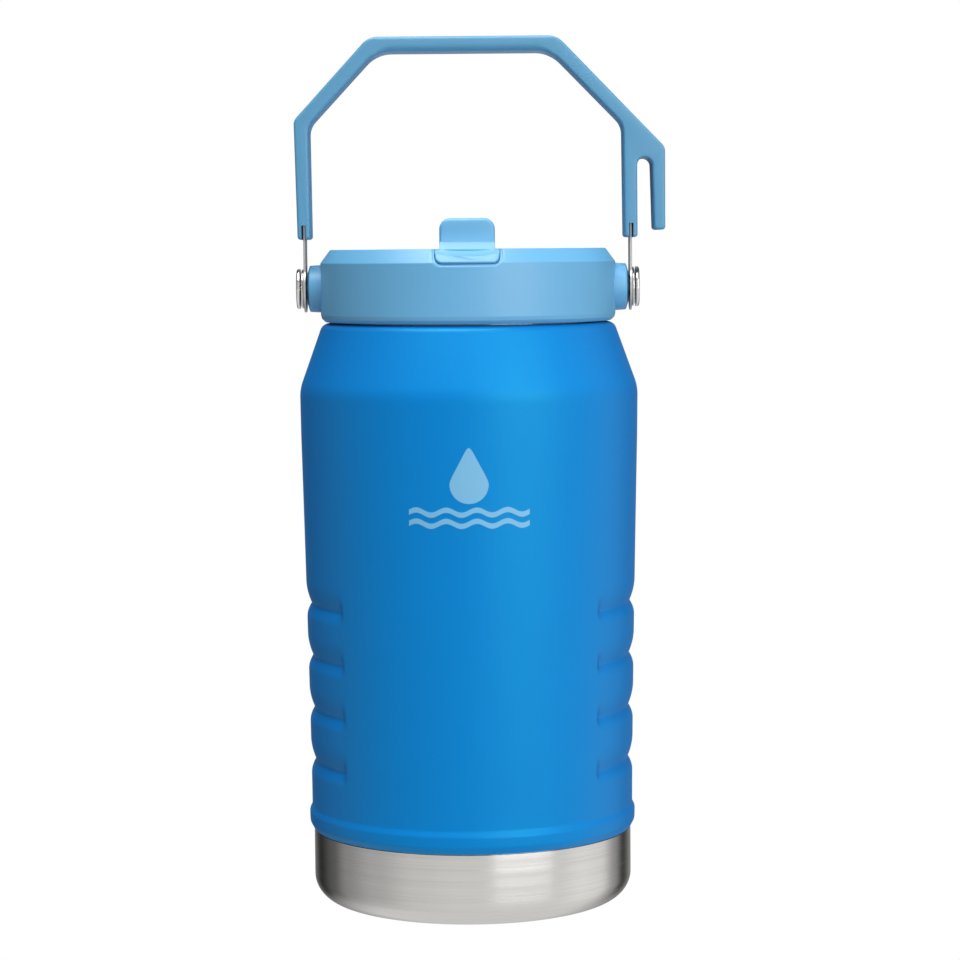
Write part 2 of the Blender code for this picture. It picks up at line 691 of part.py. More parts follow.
def make_pivot(side):
    """Insert, bush, washer and domed shoulder screw that carry the handle on one side."""
    name = SIDES[side]
    place = (0, 0, PIVOT_Z)
    insert = disc(INSERT_R, *INSERT_X, bore=SCREW_BORE_R)
    revolve("pivot_insert" + name, insert, "brass", side, place, 24)
    bush = disc(BUSH_R, *STRAP_X, bore=SCREW_BORE_R)
    revolve("pivot_bush" + name, bush, "bearing_plastic", side, place, 24)
    washer = disc(HEAD_R, *WASHER_X, bore=SCREW_BORE_R)
    revolve("pivot_washer" + name, washer, "polished_steel", side, place, 32)
    low, high = HEAD_X
    shank = [(0, INSERT_X[0] + 0.0002), (SCREW_R, INSERT_X[0] + 0.0002), (SCREW_R, low)]
    head = [(HEAD_R - 0.0003, low), (HEAD_R, low + 0.0003), (HEAD_R - 0.0004, low + 0.0008)]
    head += [(0.0050, high - 0.0003), (0, high)]
    revolve("pivot_screw" + name, shank + head, "polished_steel", side, place, 32)


def make_strap(side):
    """Steel strap from the arm's slot down to its wider round eye on the pivot."""
    name = SIDES[side]
    half = math.degrees(math.acos(STRAP_HALF / EYE_R))
    outline = arc((0, PIVOT_Z), EYE_R, 180 - half, 360 + half, 18)
    cut = 0.0020
    for across in (STRAP_HALF, -STRAP_HALF):
        shorter = math.copysign(STRAP_HALF - cut, across)
        corner = [(across, STRAP_TOP_Z - cut), (shorter, STRAP_TOP_Z)]
        outline += corner if across > 0 else corner[::-1]
    strap_x = sorted(side * x for x in STRAP_X)
    strap = prism("handle_strap" + name, outline, *strap_x, "X", "brushed_steel")
    past = (STRAP_X[0] - 0.002, STRAP_X[1] + 0.002)
    eye = disc(BUSH_R + GAP, *past)
    hole = disc(RIVET_R + GAP, *past)
    cutters = [
        revolve("cut_eye" + name, eye, None, side, (0, 0, PIVOT_Z), 24),
        revolve("cut_strap" + name, hole, None, side, (0, 0, RIVET_Z), 16),
    ]
    combine(strap, "DIFFERENCE", cutters)
    return strap


def make_rivet(side):
    profile = disc(RIVET_HEAD_R, RIVET_X[0], RIVET_GRIP_X[0])[:3]
    profile += disc(RIVET_R, *RIVET_GRIP_X)[1:3]
    profile += disc(RIVET_HEAD_R, RIVET_GRIP_X[1], RIVET_X[1])[1:]
    return revolve("strap_rivet" + SIDES[side], profile, "brushed_steel", side, (0, 0, RIVET_Z), 16)


def main():
    for thing in list(bpy.data.objects):
        bpy.data.objects.remove(thing)
    make_outer_shell()
    make_base()
    make_base_disc()
    make_port_bead()
    make_getter()
    make_inner_vessel()
    make_lid_shell()
    make_lid_liner()
    make_lid_gasket()
    make_straw()
    make_straw_socket()
    make_vent_valve()

    spout_axis = axis_empty("spout_axis", Vector((0, 0, SPOUT_AXIS_Z)))
    tip = bar_along_y("spout_mouthpiece", MOUTHPIECE_R, -0.0374, -0.0124, "silicone", DUCT_R)
    hang(spout_axis, [make_spout(), tip])
    handle_axis = axis_empty("handle_axis", Vector((0, 0, PIVOT_Z)))
    hang(handle_axis, [make_handle()])
    for side, name in SIDES.items():
        stub("spout_pin" + name, STUB_R, *STUB_X, side, "polished_steel")
        make_pivot(side)
        hang(handle_axis, [make_strap(side), make_rivet(side)])


main()
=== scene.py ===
"""Looks of the large insulated water jug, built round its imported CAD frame.

Metres, +Z up, -Y is the front, +X is the side with the hook.
"""

import json
import math

import bmesh
import bpy
from mathutils import Matrix, Vector


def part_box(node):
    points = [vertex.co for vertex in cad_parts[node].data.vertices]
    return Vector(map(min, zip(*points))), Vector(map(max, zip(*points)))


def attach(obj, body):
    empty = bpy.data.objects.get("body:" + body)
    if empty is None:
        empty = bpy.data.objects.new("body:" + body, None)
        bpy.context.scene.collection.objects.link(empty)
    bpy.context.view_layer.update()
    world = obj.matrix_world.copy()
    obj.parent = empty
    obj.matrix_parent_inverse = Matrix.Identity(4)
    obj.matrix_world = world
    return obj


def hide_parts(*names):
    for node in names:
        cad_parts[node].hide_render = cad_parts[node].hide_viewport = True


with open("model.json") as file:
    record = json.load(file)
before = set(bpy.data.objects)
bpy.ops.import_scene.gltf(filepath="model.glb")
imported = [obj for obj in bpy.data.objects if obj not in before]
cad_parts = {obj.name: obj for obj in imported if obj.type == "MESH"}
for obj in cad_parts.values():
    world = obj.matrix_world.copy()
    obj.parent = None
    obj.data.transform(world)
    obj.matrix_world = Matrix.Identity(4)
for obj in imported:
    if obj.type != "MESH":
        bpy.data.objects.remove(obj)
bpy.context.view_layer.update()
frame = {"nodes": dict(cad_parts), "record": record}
SIDES = {"_right": 1, "_left": -1}
MM = 0.001


# Where things are, from the frame
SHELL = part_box("outer_shell")
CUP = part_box("base_cup")
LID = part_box("lid_shell")
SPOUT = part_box("spout")
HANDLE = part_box("handle")
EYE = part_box("pivot_bush_right")
PIVOT_Z = (EYE[0].z + EYE[1].z) / 2
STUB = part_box("spout_pin_right")
SPOUT_Z = (STUB[0].z + STUB[1].z) / 2
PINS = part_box("strap_rivet_right")
RIVET_Z = (PINS[0].z + PINS[1].z) / 2

# Body sizes
BODY_R = SHELL[1].x
LIP_Z = SHELL[1].z
EDGE_Z = SHELL[0].z
WAIST_R = BODY_R - 2.8 * MM
WAIST_Z = EDGE_Z + 10.5 * MM
SHOULDER_Z = LIP_Z - 27.6 * MM
SWELL = 1.3
LIP_R = 46.9 * MM
LIP_CORNER = 3.6 * MM
CONE_TOP = (BODY_R - 8.1 * MM, LIP_Z - 2.3 * MM)
CONE_SLOPE = 0.3596
CONE_CORNER = 17 * MM
STRAIGHT_Z = 160 * MM
GROOVE_TOP_Z = 112.6 * MM
GROOVE_PITCH = 19.8 * MM
GROOVE_COUNT = 4
GROOVE_DEPTH = 1.9 * MM
GROOVE_ABOVE = 8.6 * MM
GROOVE_BELOW = 5.2 * MM
GROOVE_BLUNT = 0.11 * MM
GROOVE_END_BLUNT = 0.5 * MM
GROOVE_FULL = math.radians(38.0)
GROOVE_END = math.radians(41.8)
GROOVED_Z = (121.5 * MM, 47.5 * MM)
GROOVED_STEP = 0.55 * MM

# Lid sizes
LID_R = 55.2 * MM
LID_TOP_Z = LID[1].z
LID_FOOT_Z = LID[0].z
LID_TOP_R = LID_R - 3.7 * MM
CHAMFER_Z = LID_TOP_Z - 5.0 * MM
OPEN_HALF = 12.95 * MM
OPEN_FOOT_HALF = 12.2 * MM
OPEN_BACK_Y = 9.5 * MM
SLOT_FRONT_Y = -48 * MM
NOTCH_Z = LID_TOP_Z - 6.0 * MM
RIM_ROUND = 0.6 * MM


# Materials


def srgb(red, green, blue):
    """Linear colour of sRGB bytes."""
    shares = [byte / 255 for byte in (red, green, blue)]
    return [s / 12.92 if s <= 0.04045 else ((s + 0.055) / 1.055) ** 2.4 for s in shares]


def shade(colour, factor):
    return (*[c * factor for c in colour], 1)


class Graph:
    """Small helper that lays out a material's nodes."""

    def __init__(self, name, colour, roughness, metallic=0.0):
        self.material = bpy.data.materials.new(name)
        self.material.use_nodes = True
        self.tree = self.material.node_tree
        self.shader = self.tree.nodes["Principled BSDF"]
        self.shader.inputs["Base Color"].default_value = (*colour, 1)
        self.shader.inputs["Roughness"].default_value = roughness
        self.shader.inputs["Metallic"].default_value = metallic
        self.position = self.node("ShaderNodeTexCoord").outputs["Object"]

    def node(self, kind, **values):
        made = self.tree.nodes.new(kind)
        for key, value in values.items():
            setattr(made, key, value)
        return made

    def feed(self, socket, value):
        if isinstance(value, bpy.types.NodeSocket):
            self.tree.links.new(value, socket)
        else:
            socket.default_value = value

    def maths(self, operation, *values):
        made = self.node("ShaderNodeMath", operation=operation)
        for socket, value in zip(made.inputs, values):
            self.feed(socket, value)
        return made.outputs[0]

    def noise(self, scale, vector=None, detail=2.0, rough=0.5):
        made = self.node("ShaderNodeTexNoise")
        self.feed(made.inputs["Vector"], vector or self.position)
        self.feed(made.inputs["Scale"], scale)
        self.feed(made.inputs["Detail"], detail)
        self.feed(made.inputs["Roughness"], rough)
        return made.outputs["Fac"]

    def spread(self, value, low, high, start=0.3, end=0.7):
        """Map a noise value from start..end to low..high."""
        made = self.node("ShaderNodeMapRange")
        for key, number in (("From Min", start), ("From Max", end), ("To Min", low), ("To Max", high)):
            made.inputs[key].default_value = number
        self.feed(made.inputs["Value"], value)
        return made.outputs["Result"]

    def mix(self, share, first, second):
        made = self.node("ShaderNodeMix", data_type="RGBA")
        self.feed(made.inputs["Factor"], share)
        self.feed(made.inputs["A"], first)
        self.feed(made.inputs["B"], second)
        return made.outputs["Result"]

    def bump(self, height, strength, distance):
        made = self.node("ShaderNodeBump")
        self.feed(made.inputs["Height"], height)
        self.feed(made.inputs["Strength"], strength)
        self.feed(made.inputs["Distance"], distance)
        return made.outputs["Normal"]

    def put(self, name, value):
        self.feed(self.shader.inputs[name], value)


def powder_coat():
    """Satin powder coat: fine orange-peel grain with a soft sparkle in its roughness."""
    g = Graph("powder_coat", BODY_BLUE, 0.42)
    grain = g.noise(2600, detail=3.0)
    broad = g.noise(60, detail=1.0)
    tone = g.mix(g.spread(grain, 0.0, 1.0), shade(BODY_BLUE, 0.95), shade(BODY_BLUE, 1.05))
    g.put("Base Color", g.mix(g.spread(broad, 0.0, 0.25), tone, shade(BODY_BLUE, 0.93)))
    g.put("Specular Tint", (0.10, 1.0, 1.0, 1))
    g.put("Roughness", g.spread(grain, 0.36, 0.50))
    g.put("Normal", g.bump(grain, 0.35, 0.00006))
    g.put("Specular IOR Level", 1.0)
    return g.material


def moulded(name, colour, grain_height=0.00003, roughness=0.44):
    """Moulded plastic with a fine spark-eroded texture and very slight flow shading."""
    g = Graph(name, colour, roughness)
    grain = g.noise(3200, detail=3.0)
    broad = g.noise(45, detail=2.0)
    g.put("Base Color", g.mix(g.spread(broad, 0.0, 0.6), shade(colour, 1.0), shade(colour, 0.955)))
    g.put("Roughness", g.spread(grain, roughness - 0.05, roughness + 0.07))
    g.put("Normal", g.bump(grain, 0.4, grain_height))
    g.put("Specular IOR Level", 0.8)
    g.put("Subsurface Weight", 0.06)
    g.put("Subsurface Radius", (0.2, 0.6, 1.0))
    g.put("Subsurface Scale", 0.0008)
    return g.material


QUARTER_TURN = 0.25


def turned_steel(name, colour, roughness=0.21, streak=0.3):
    """Steel brushed round the vertical axis: fine lines, uneven shine, anisotropic reflection."""
    g = Graph(name, colour, roughness, 1.0)
    split = g.node("ShaderNodeSeparateXYZ")
    g.feed(split.inputs[0], g.position)
    x, y, z = split.outputs
    radius = g.maths("SQRT", g.maths("ADD", g.maths("MULTIPLY", x, x), g.maths("MULTIPLY", y, y)))
    across = g.maths("SUBTRACT", z, radius)

    def brushed(round_scale, across_scale, detail, rough=0.5):
        """Noise drawn out round the axis."""
        join = g.node("ShaderNodeCombineXYZ")
        scales = (round_scale, round_scale, across_scale)
        for socket, value, scale in zip(join.inputs, (x, y, across), scales):
            g.feed(socket, g.maths("MULTIPLY", value, scale))
        return g.noise(1.0, join.outputs[0], detail=detail, rough=rough)

    fine = brushed(7.0, 1500.0, 4.0, 0.65)
    bands = brushed(3.0, 330.0, 2.0)
    g.put("Base Color", g.mix(g.spread(fine, 0.0, streak), (*colour, 1), shade(colour, 0.80)))
    lines = g.spread(fine, roughness - 0.05, roughness + 0.08)
    g.put("Roughness", g.maths("ADD", lines, g.spread(bands, -0.03, 0.04)))
    g.put("Normal", g.bump(fine, 0.12, 0.00004))
    g.put("Anisotropic", 0.8)
    g.put("Tangent", g.node("ShaderNodeTangent", direction_type="RADIAL", axis="Z").outputs[0])
    g.put("Anisotropic Rotation", QUARTER_TURN)
    return g.material


def sheet_steel(name, colour, roughness, grain=900.0, height=0.00002):
    """Stamped or turned small steel part: fine grain, faint smudges in the shine."""
    g = Graph(name, colour, roughness, 1.0)
    fine = g.noise(grain, detail=4.0, rough=0.6)
    smudge = g.noise(120, detail=2.0)
    shine = g.maths("ADD", g.spread(fine, roughness * 0.8, roughness * 1.25), g.spread(smudge, 0.0, 0.06))
    g.put("Roughness", shine)
    g.put("Normal", g.bump(fine, 0.2, height))
    g.put("Base Color", g.mix(g.spread(smudge, 0.0, 0.5), (*colour, 1), shade(colour, 0.85)))
    return g.material


def silicone(name, colour):
    """Soft translucent rubber with a powdery surface."""
    g = Graph(name, colour, 0.6)
    grain = g.noise(1800, detail=2.0)
    g.put("Roughness", g.spread(grain, 0.52, 0.68))
    g.put("Normal", g.bump(grain, 0.3, 0.00003))
    g.put("Subsurface Weight", 0.25)
    g.put("Subsurface Radius", (1.0, 1.0, 1.0))
    g.put("Subsurface Scale", 0.0012)
    return g.material


def clear_tube():
    """Clear stiff plastic of the straw."""
    g = Graph("clear_tube", srgb(214, 234, 244), 0.12)
    drawn = g.noise(500, detail=2.0)
    g.put("Roughness", g.spread(drawn, 0.08, 0.18))
    g.put("Transmission Weight", 0.75)
    g.put("IOR", 1.49)
    return g.material


# Linear colours, then the materials
BODY_BLUE = (0.001, 0.200, 0.640)
SKY = (0.130, 0.43, 0.72)
HANDLE_SKY = (0.080, 0.305, 0.51)
POWDER = powder_coat()
LID_BLUE = moulded("lid_blue", SKY)
HANDLE_BLUE = moulded("handle_blue", HANDLE_SKY, 0.00004, 0.46)
PRINT_BLUE = moulded("print_blue", srgb(120, 190, 232), 0.00002, 0.5)
BASE_STEEL = turned_steel("base_steel", (0.66, 0.65, 0.63))
VESSEL_STEEL = turned_steel("vessel_steel", (0.62, 0.61, 0.60), 0.22, 0.3)
POLISHED = sheet_steel("polished_steel", (0.70, 0.69, 0.68), 0.10, 1500.0, 0.000005)
STRAP_STEEL = sheet_steel("strap_steel", (0.52, 0.51, 0.50), 0.34)
BRASS = sheet_steel("insert_brass", srgb(205, 170, 100), 0.28)
DULL_METAL = sheet_steel("dull_metal", (0.28, 0.28, 0.28), 0.55)
WHITE_PLASTIC = moulded("liner_white", srgb(236, 238, 240), 0.00002, 0.38)
BUSH_PLASTIC = moulded("bush_grey", srgb(60, 62, 66), 0.00002, 0.42)
SOFT_WHITE = silicone("soft_white", srgb(222, 228, 232))
CLEAR = clear_tube()


# Mesh building


def piece(name, bm, material, body, nodes=(), slot=None, sharp=30.0):
    """Closed mesh that rides on a body, stands for CAD nodes, and is smooth except at its edges."""
    bmesh.ops.recalc_face_normals(bm, faces=bm.faces[:])
    mesh = bpy.data.meshes.new(name)
    bm.to_mesh(mesh)
    bm.free()
    thing = bpy.data.objects.new(name, mesh)
    bpy.context.scene.collection.objects.link(thing)
    return dress(thing, material, body, nodes, slot, sharp)


def dress(thing, material, body, nodes=(), slot=None, sharp=30.0):
    thing.data.shade_smooth()
    thing.data.set_sharp_from_angle(angle=math.radians(sharp))
    thing.data.materials.clear()
    if material:
        thing.data.materials.append(material)
    if body:
        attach(thing, body)
    if nodes:
        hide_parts(*nodes)
        rows = {row["node"]: row["material_slot"] for row in frame["record"]["subparts"]}
        slot = slot or rows[nodes[0]]
    return thing


def lathe_mesh(profile, steps, side=0, centre=(0, 0, 0)):
    """Solid of revolution from a closed loop of (radius, height); side turns it to point along X."""
    bm = bmesh.new()
    rings = []
    for radius, height in profile:
        turns = [math.tau * i / steps for i in range(steps if radius else 1)]
        rings.append(
            [bm.verts.new((radius * math.cos(t), radius * math.sin(t), height)) for t in turns]
        )
    skin(bm, rings, True)
    turn = Matrix.Rotation(side * math.pi / 2, 4, "Y")
    bmesh.ops.transform(bm, matrix=Matrix.Translation(centre) @ turn, verts=bm.verts[:])
    return bm


def skin(bm, rings, closed):
    """Faces between neighbouring rings; a ring of one vertex is a pole."""
    pairs = list(zip(rings, rings[1:] + (rings[:1] if closed else [])))
    for here, there in pairs:
        steps = max(len(here), len(there))
        if steps == 1:
            continue
        for i in range(steps):
            j = (i + 1) % steps
            loop = (here[i % len(here)], here[j % len(here)], there[j % len(there)], there[i % len(there)])
            face = list(dict.fromkeys(loop))
            if len(face) > 2:
                bm.faces.new(face)


def prism_mesh(outline, low, high, across, rounding=0.0, segments=3):
    """Closed outline extruded along "X" (outline in Y, Z) or "Y" (outline in X, Z), rims rounded."""
    bm = bmesh.new()

    def place(u, v, w):
        return (w, u, v) if across == "X" else (u, w, v)

    first = [bm.verts.new(place(u, v, low)) for u, v in outline]
    last = [bm.verts.new(place(u, v, high)) for u, v in outline]
    caps = [bm.faces.new(first), bm.faces.new(last)]
    for i in range(len(outline)):
        j = (i + 1) % len(outline)
        bm.faces.new((first[i], first[j], last[j], last[i]))
    if rounding:
        rim = list(dict.fromkeys(edge for cap in caps for edge in cap.edges))
        bmesh.ops.bevel(bm, geom=rim, offset=rounding, segments=segments, profile=0.5, affect="EDGES")
    bmesh.ops.recalc_face_normals(bm, faces=bm.faces[:])
    return bm


def box_mesh(x, y, z):
    outline = [(x[0], z[0]), (x[1], z[0]), (x[1], z[1]), (x[0], z[1])]
    return prism_mesh(outline, *y, "Y")


def arc(centre, radius, start, end, steps):
    """Points on an arc, angles in degrees, both ends included."""
    angles = [math.radians(start + (end - start) * i / steps) for i in range(steps + 1)]
    return [(centre[0] + radius * math.cos(a), centre[1] + radius * math.sin(a)) for a in angles]


def rounded(corners, steps=8, closed=True):
    """Points through corners (u, v, radius), each turned by an arc of its own radius."""
    points = []
    last = len(corners) - 1
    for i, (u, v, radius) in enumerate(corners):
        if not radius or (not closed and i in (0, last)):
            points.append((u, v))
            continue
        here = Vector((u, v))
        back = (Vector(corners[i - 1][:2]) - here).normalized()
        ahead = (Vector(corners[(i + 1) % len(corners)][:2]) - here).normalized()
        half = back.angle(ahead) / 2
        centre = here + (back + ahead).normalized() * radius / math.sin(half)
        start = (here + back * radius / math.tan(half) - centre).normalized()
        end = (here + ahead * radius / math.tan(half) - centre).normalized()
        points += [tuple(centre + start.slerp(end, k / steps) * radius) for k in range(steps + 1)]
    return points


def guide(bm):
    """Temporary object for a Boolean."""
    bmesh.ops.recalc_face_normals(bm, faces=bm.faces[:])
    mesh = bpy.data.meshes.new("guide")
    bm.to_mesh(mesh)
    bm.free()
    thing = bpy.data.objects.new("guide", mesh)
    bpy.context.scene.collection.objects.link(thing)
    return thing


def carve(thing, steps):
    """Apply a run of Booleans, each (operation, mesh), and remove the guides."""
    for operation, bm in steps:
        tool = guide(bm)
        modifier = thing.modifiers.new("carve", "BOOLEAN")
        modifier.operation = operation
        modifier.solver = "EXACT"
        modifier.object = tool
        bake_modifiers(thing)
        bpy.data.objects.remove(tool)


def bake_modifiers(thing):
    """Replace the mesh by what its modifiers make of it."""
    bpy.context.view_layer.update()
    graph = bpy.context.evaluated_depsgraph_get()
    mesh = bpy.data.meshes.new_from_object(thing.evaluated_get(graph))
    thing.modifiers.clear()
    thing.data = mesh


# Body


def shell_radius(z):
    """Radius of the outer wall, which swells a little from the waist to the shoulder."""
    share = max(0.0, (z - WAIST_Z) / (SHOULDER_Z - WAIST_Z))
    return WAIST_R + (BODY_R - WAIST_R) * min(share, 1.0) ** SWELL


def groove_heights():
    return [GROOVE_TOP_Z - i * GROOVE_PITCH for i in range(GROOVE_COUNT)]


def groove_depth(angle, z):
    """Depth of the nearest grip groove: a soft vee that fades out and softens at its ends."""
    off_side = math.acos(min(1.0, abs(math.cos(angle))))
    share = min(1.0, max(0.0, (GROOVE_END - off_side) / (GROOVE_END - GROOVE_FULL)))
    share = share * share * (3 - 2 * share)
    blunt = GROOVE_BLUNT + GROOVE_END_BLUNT * (1 - share)
    depth = 0.0
    for height in groove_heights():
        away = z - height
        reach = GROOVE_ABOVE if away > 0 else GROOVE_BELOW
        soft = math.sqrt(away * away + blunt * blunt) - blunt
        climb = min(1.0, soft / reach)
        depth = max(depth, GROOVE_DEPTH * share * (1 - climb) ** 2)
    return depth


def shell_run():
    """Outer run of the shell from the lip to the lower edge."""
    shoulder_r = BODY_R - 0.1 * MM
    shoulder_z = CONE_TOP[1] - (shoulder_r - CONE_TOP[0]) / CONE_SLOPE
    top_r = CONE_TOP[0] - (LIP_Z - CONE_TOP[1]) * CONE_SLOPE
    head = [
        (LIP_R, LIP_Z, 0),
        (top_r, LIP_Z, LIP_CORNER),
        (shoulder_r, shoulder_z, CONE_CORNER),
        (shell_radius(STRAIGHT_Z), STRAIGHT_Z, 0),
    ]
    heights = [z * MM for z in (176, 168, 160, 152, 144, 136, 130, 125)]
    z = GROOVED_Z[0]
    while z > GROOVED_Z[1]:
        heights.append(z)
        z -= GROOVED_STEP
    heights += [z * MM for z in (45.5, 43.0, 40.5)]
    flank = [(shell_radius(z), z) for z in heights]
    bead = [
        (WAIST_R + 0.01 * MM, EDGE_Z + 11.0 * MM, 0),
        (WAIST_R - 0.02 * MM, EDGE_Z + 8.4 * MM, 2.2 * MM),
        (WAIST_R + 0.95 * MM, EDGE_Z + 6.4 * MM, 2.4 * MM),
        (WAIST_R + 0.85 * MM, EDGE_Z + 2.4 * MM, 3.0 * MM),
        (WAIST_R - 0.45 * MM, EDGE_Z, 0),
    ]
    return rounded(head, 10, closed=False)[:-1] + flank + rounded(bead, 6, closed=False)


def shell_angles():
    """Angles round the axis, closer together where the grooves end."""
    angles = set()
    quarter_turn = 90
    coarse = 2
    fine_steps = 11
    for side in (0, math.pi):
        for degrees in range(-quarter_turn, quarter_turn + 1, coarse):
            angles.add(round(side + math.radians(degrees), 6) % math.tau)
        for sign in (1, -1):
            for i in range(fine_steps + 1):
                turn = GROOVE_FULL + (GROOVE_END - GROOVE_FULL) * i / fine_steps
                angles.add(round(side + sign * turn, 6) % math.tau)
    return sorted(angles)


def make_shell():
    """Powder coated outer wall: the grooves are pressed into its outside only."""
    wall = 1.0 * MM
    inside = [
        (WAIST_R - 1.4 * MM, EDGE_Z),
        (WAIST_R - 2.0 * MM, 40 * MM),
        (57.0 * MM, 118 * MM),
        (61.8 * MM, 130 * MM),
        (61.8 * MM, 190 * MM),
        (52.9 * MM, LIP_Z - wall),
        (LIP_R, LIP_Z - wall),
    ]
    angles = shell_angles()
    bm = bmesh.new()
    rings = []

    def add_ring(height, radius_at):
        places = [(radius_at(a) * math.cos(a), radius_at(a) * math.sin(a), height) for a in angles]
        rings.append([bm.verts.new(place) for place in places])

    for radius, height in shell_run():
        add_ring(height, lambda a: radius - groove_depth(a, height))
    for radius, height in inside:
        add_ring(height, lambda a: radius)
    skin(bm, rings, True)
    piece("body_shell", bm, POWDER, "jug", ["outer_shell"], sharp=50)


def make_base():
    """Turned steel cup under the shell, and the cover plate in its foot."""
    seam = EDGE_Z - 0.35 * MM
    wall = 1.0 * MM
    cup_r = CUP[1].x
    corner = 9.5 * MM
    step_r = 58.9 * MM
    ring_r = (43.9 * MM, 45.5 * MM)
    floor_z = 2.2 * MM
    port_r = (1.0 * MM, 3.6 * MM, 4.4 * MM)
    port_z = 4.2 * MM
    small = 0.3 * MM
    foot = rounded(
        [
            (step_r, CUP[1].z, 0),
            (step_r, seam, 0),
            (cup_r, seam, 0.12 * MM),
            (cup_r, 0, corner),
            (ring_r[1], 0, 2 * small),
            (ring_r[0], floor_z, 2 * small),
            (port_r[2], floor_z, small),
            (port_r[1], port_z, small),
            (port_r[0], port_z, 0),
        ],
        14,
        closed=False,
    )
    dish_z = floor_z + wall
    top_z = port_z + 0.8 * MM
    inside = [(port_r[0], top_z), (port_r[2] + 0.6 * MM, top_z), (port_r[2] + wall, dish_z)]
    inside += [(43.0 * MM, dish_z), (45.4 * MM, wall)]
    inside += arc((cup_r - corner, corner), corner - wall, -90, 0, 10)
    inside += [(cup_r - wall, seam - wall), (step_r - wall, seam), (step_r - wall, CUP[1].z)]
    piece("base", lathe_mesh(foot + inside, 200), BASE_STEEL, "jug", ["base_cup"])
    plate_r = 43.2 * MM
    plate = 1.4 * MM
    rim = 0.4 * MM
    disc = rounded([(0, 0, 0), (plate_r, 0, rim), (plate_r, plate, rim), (0, plate, 0)], 4, closed=False)
    piece("base_plate", lathe_mesh(disc, 128), BASE_STEEL, "jug", ["base_disc"])


# Lid


def lid_profile_radius(z):
    """Outer radius of the lid at a height, chamfer included."""
    share = min(1.0, max(0.0, (z - CHAMFER_Z) / (LID_TOP_Z - CHAMFER_Z)))
    return LID_R - (LID_R - LID_TOP_R) * share


def offset_loop(points, distance):
    """Open outline moved outwards by a distance, away from its left side."""
    moved = []
    for i, point in enumerate(points):
        here = Vector(point)
        before = Vector(points[max(i - 1, 0)])
        after = Vector(points[min(i + 1, len(points) - 1)])
        run = (after - before).normalized()
        moved.append(here + Vector((run.y, -run.x)) * distance)
    return moved


def finely(points, step):
    """The same open outline with points no further apart than a step."""
    fine = []
    for a, b in zip(points, points[1:]):
        count = max(1, int((Vector(b) - Vector(a)).length / step))
        fine += [tuple(Vector(a).lerp(Vector(b), k / count)) for k in range(count)]
    return fine + [points[-1]]


def front_solid(outline, sections):
    """Solid that crosses the lid's curved side: an outline in X, Z swept through it.

    Each section is (distance behind the side's surface, distance the outline is widened).
    """
    fine = finely(outline, 0.7 * MM)
    bm = bmesh.new()
    rings = []
    for inward, flare in sections:
        ring = []
        for point, (x, z) in zip(offset_loop(fine, flare), fine):
            radius = lid_profile_radius(z)
            surface = -math.sqrt(radius * radius - x * x)
            ring.append(bm.verts.new((point.x, surface + inward, point.y)))
        rings.append(ring)
    skin(bm, rings, False)
    bm.faces.new(rings[0])
    bm.faces.new(rings[-1])
    return bm


def quarter():
    """Sine and one minus cosine of a quarter turn, in steps."""
    steps = 6
    turns = [math.pi / 2 * k / steps for k in range(steps + 1)]
    return [(math.sin(t), 1 - math.cos(t)) for t in turns]


def front_outline(half, top_z, foot_half, foot_z, corner):
    """Outline in X, Z of the notch and of the ledge in it: open at the top, rounded at the foot."""
    corners = [(-half, top_z, 0), (-foot_half, foot_z, corner)]
    corners += [(foot_half, foot_z, corner), (half, top_z, 0)]
    return rounded(corners, 10, closed=False)


def notch_cutter():
    """Cutter for the front notch, flared where it meets the lid so that the rim comes out rounded."""
    past = LID_TOP_Z + 12 * MM
    outline = front_outline(OPEN_HALF, past, OPEN_FOOT_HALF, NOTCH_Z, 3.0 * MM)
    step = -0.5 * MM
    sections = [(12 * MM, 0.0), (3.0 * MM, 0.0), (2.9 * MM, step), (1.0 * MM, step), (0.9 * MM, 0.0)]
    sections += [(RIM_ROUND * (1 - sine), RIM_ROUND * rise) for sine, rise in quarter()]
    sections.append((-8 * MM, RIM_ROUND))
    return front_solid(outline, sections)


def slot_cutter():
    """Cutter for the long opening in the lid's top, with a rounded rim."""
    half = OPEN_HALF
    front_y = SLOT_FRONT_Y
    corner = 2.0 * MM
    corners = [(-half, OPEN_BACK_Y, corner), (-half, front_y, 0)]
    corners += [(half, front_y, 0), (half, OPEN_BACK_Y, corner)]
    loop = rounded(corners, 8)
    levels = [(-8 * MM, 0.0)]
    levels += [(RIM_ROUND * (sine - 1), RIM_ROUND * rise) for sine, rise in quarter()]
    levels.append((2 * MM, RIM_ROUND))
    bm = bmesh.new()
    rings = []
    for height, flare in levels:
        wide = (half + flare) / half
        level = LID_TOP_Z + height
        rings.append(
            [bm.verts.new((x * wide, y + (flare if y > 0 else 0), level)) for x, y in loop]
        )
    skin(bm, rings, False)
    bm.faces.new(rings[0])
    bm.faces.new(rings[-1])
    return bm


def boss_mesh(side):
    """Pivot boss with a little draft and a crowned end."""
    root_x = 53.4 * MM
    end_x = 60.15 * MM
    bore = 3.3 * MM
    profile = [
        (9.0 * MM, root_x, 0),
        (8.65 * MM, 59.2 * MM, 0.6 * MM),
        (5.2 * MM, end_x, 3.0 * MM),
        (bore, end_x, 0.2 * MM),
        (bore, root_x, 0),
    ]
    return lathe_mesh(rounded(profile, 6), 72, side, (0, 0, PIVOT_Z))


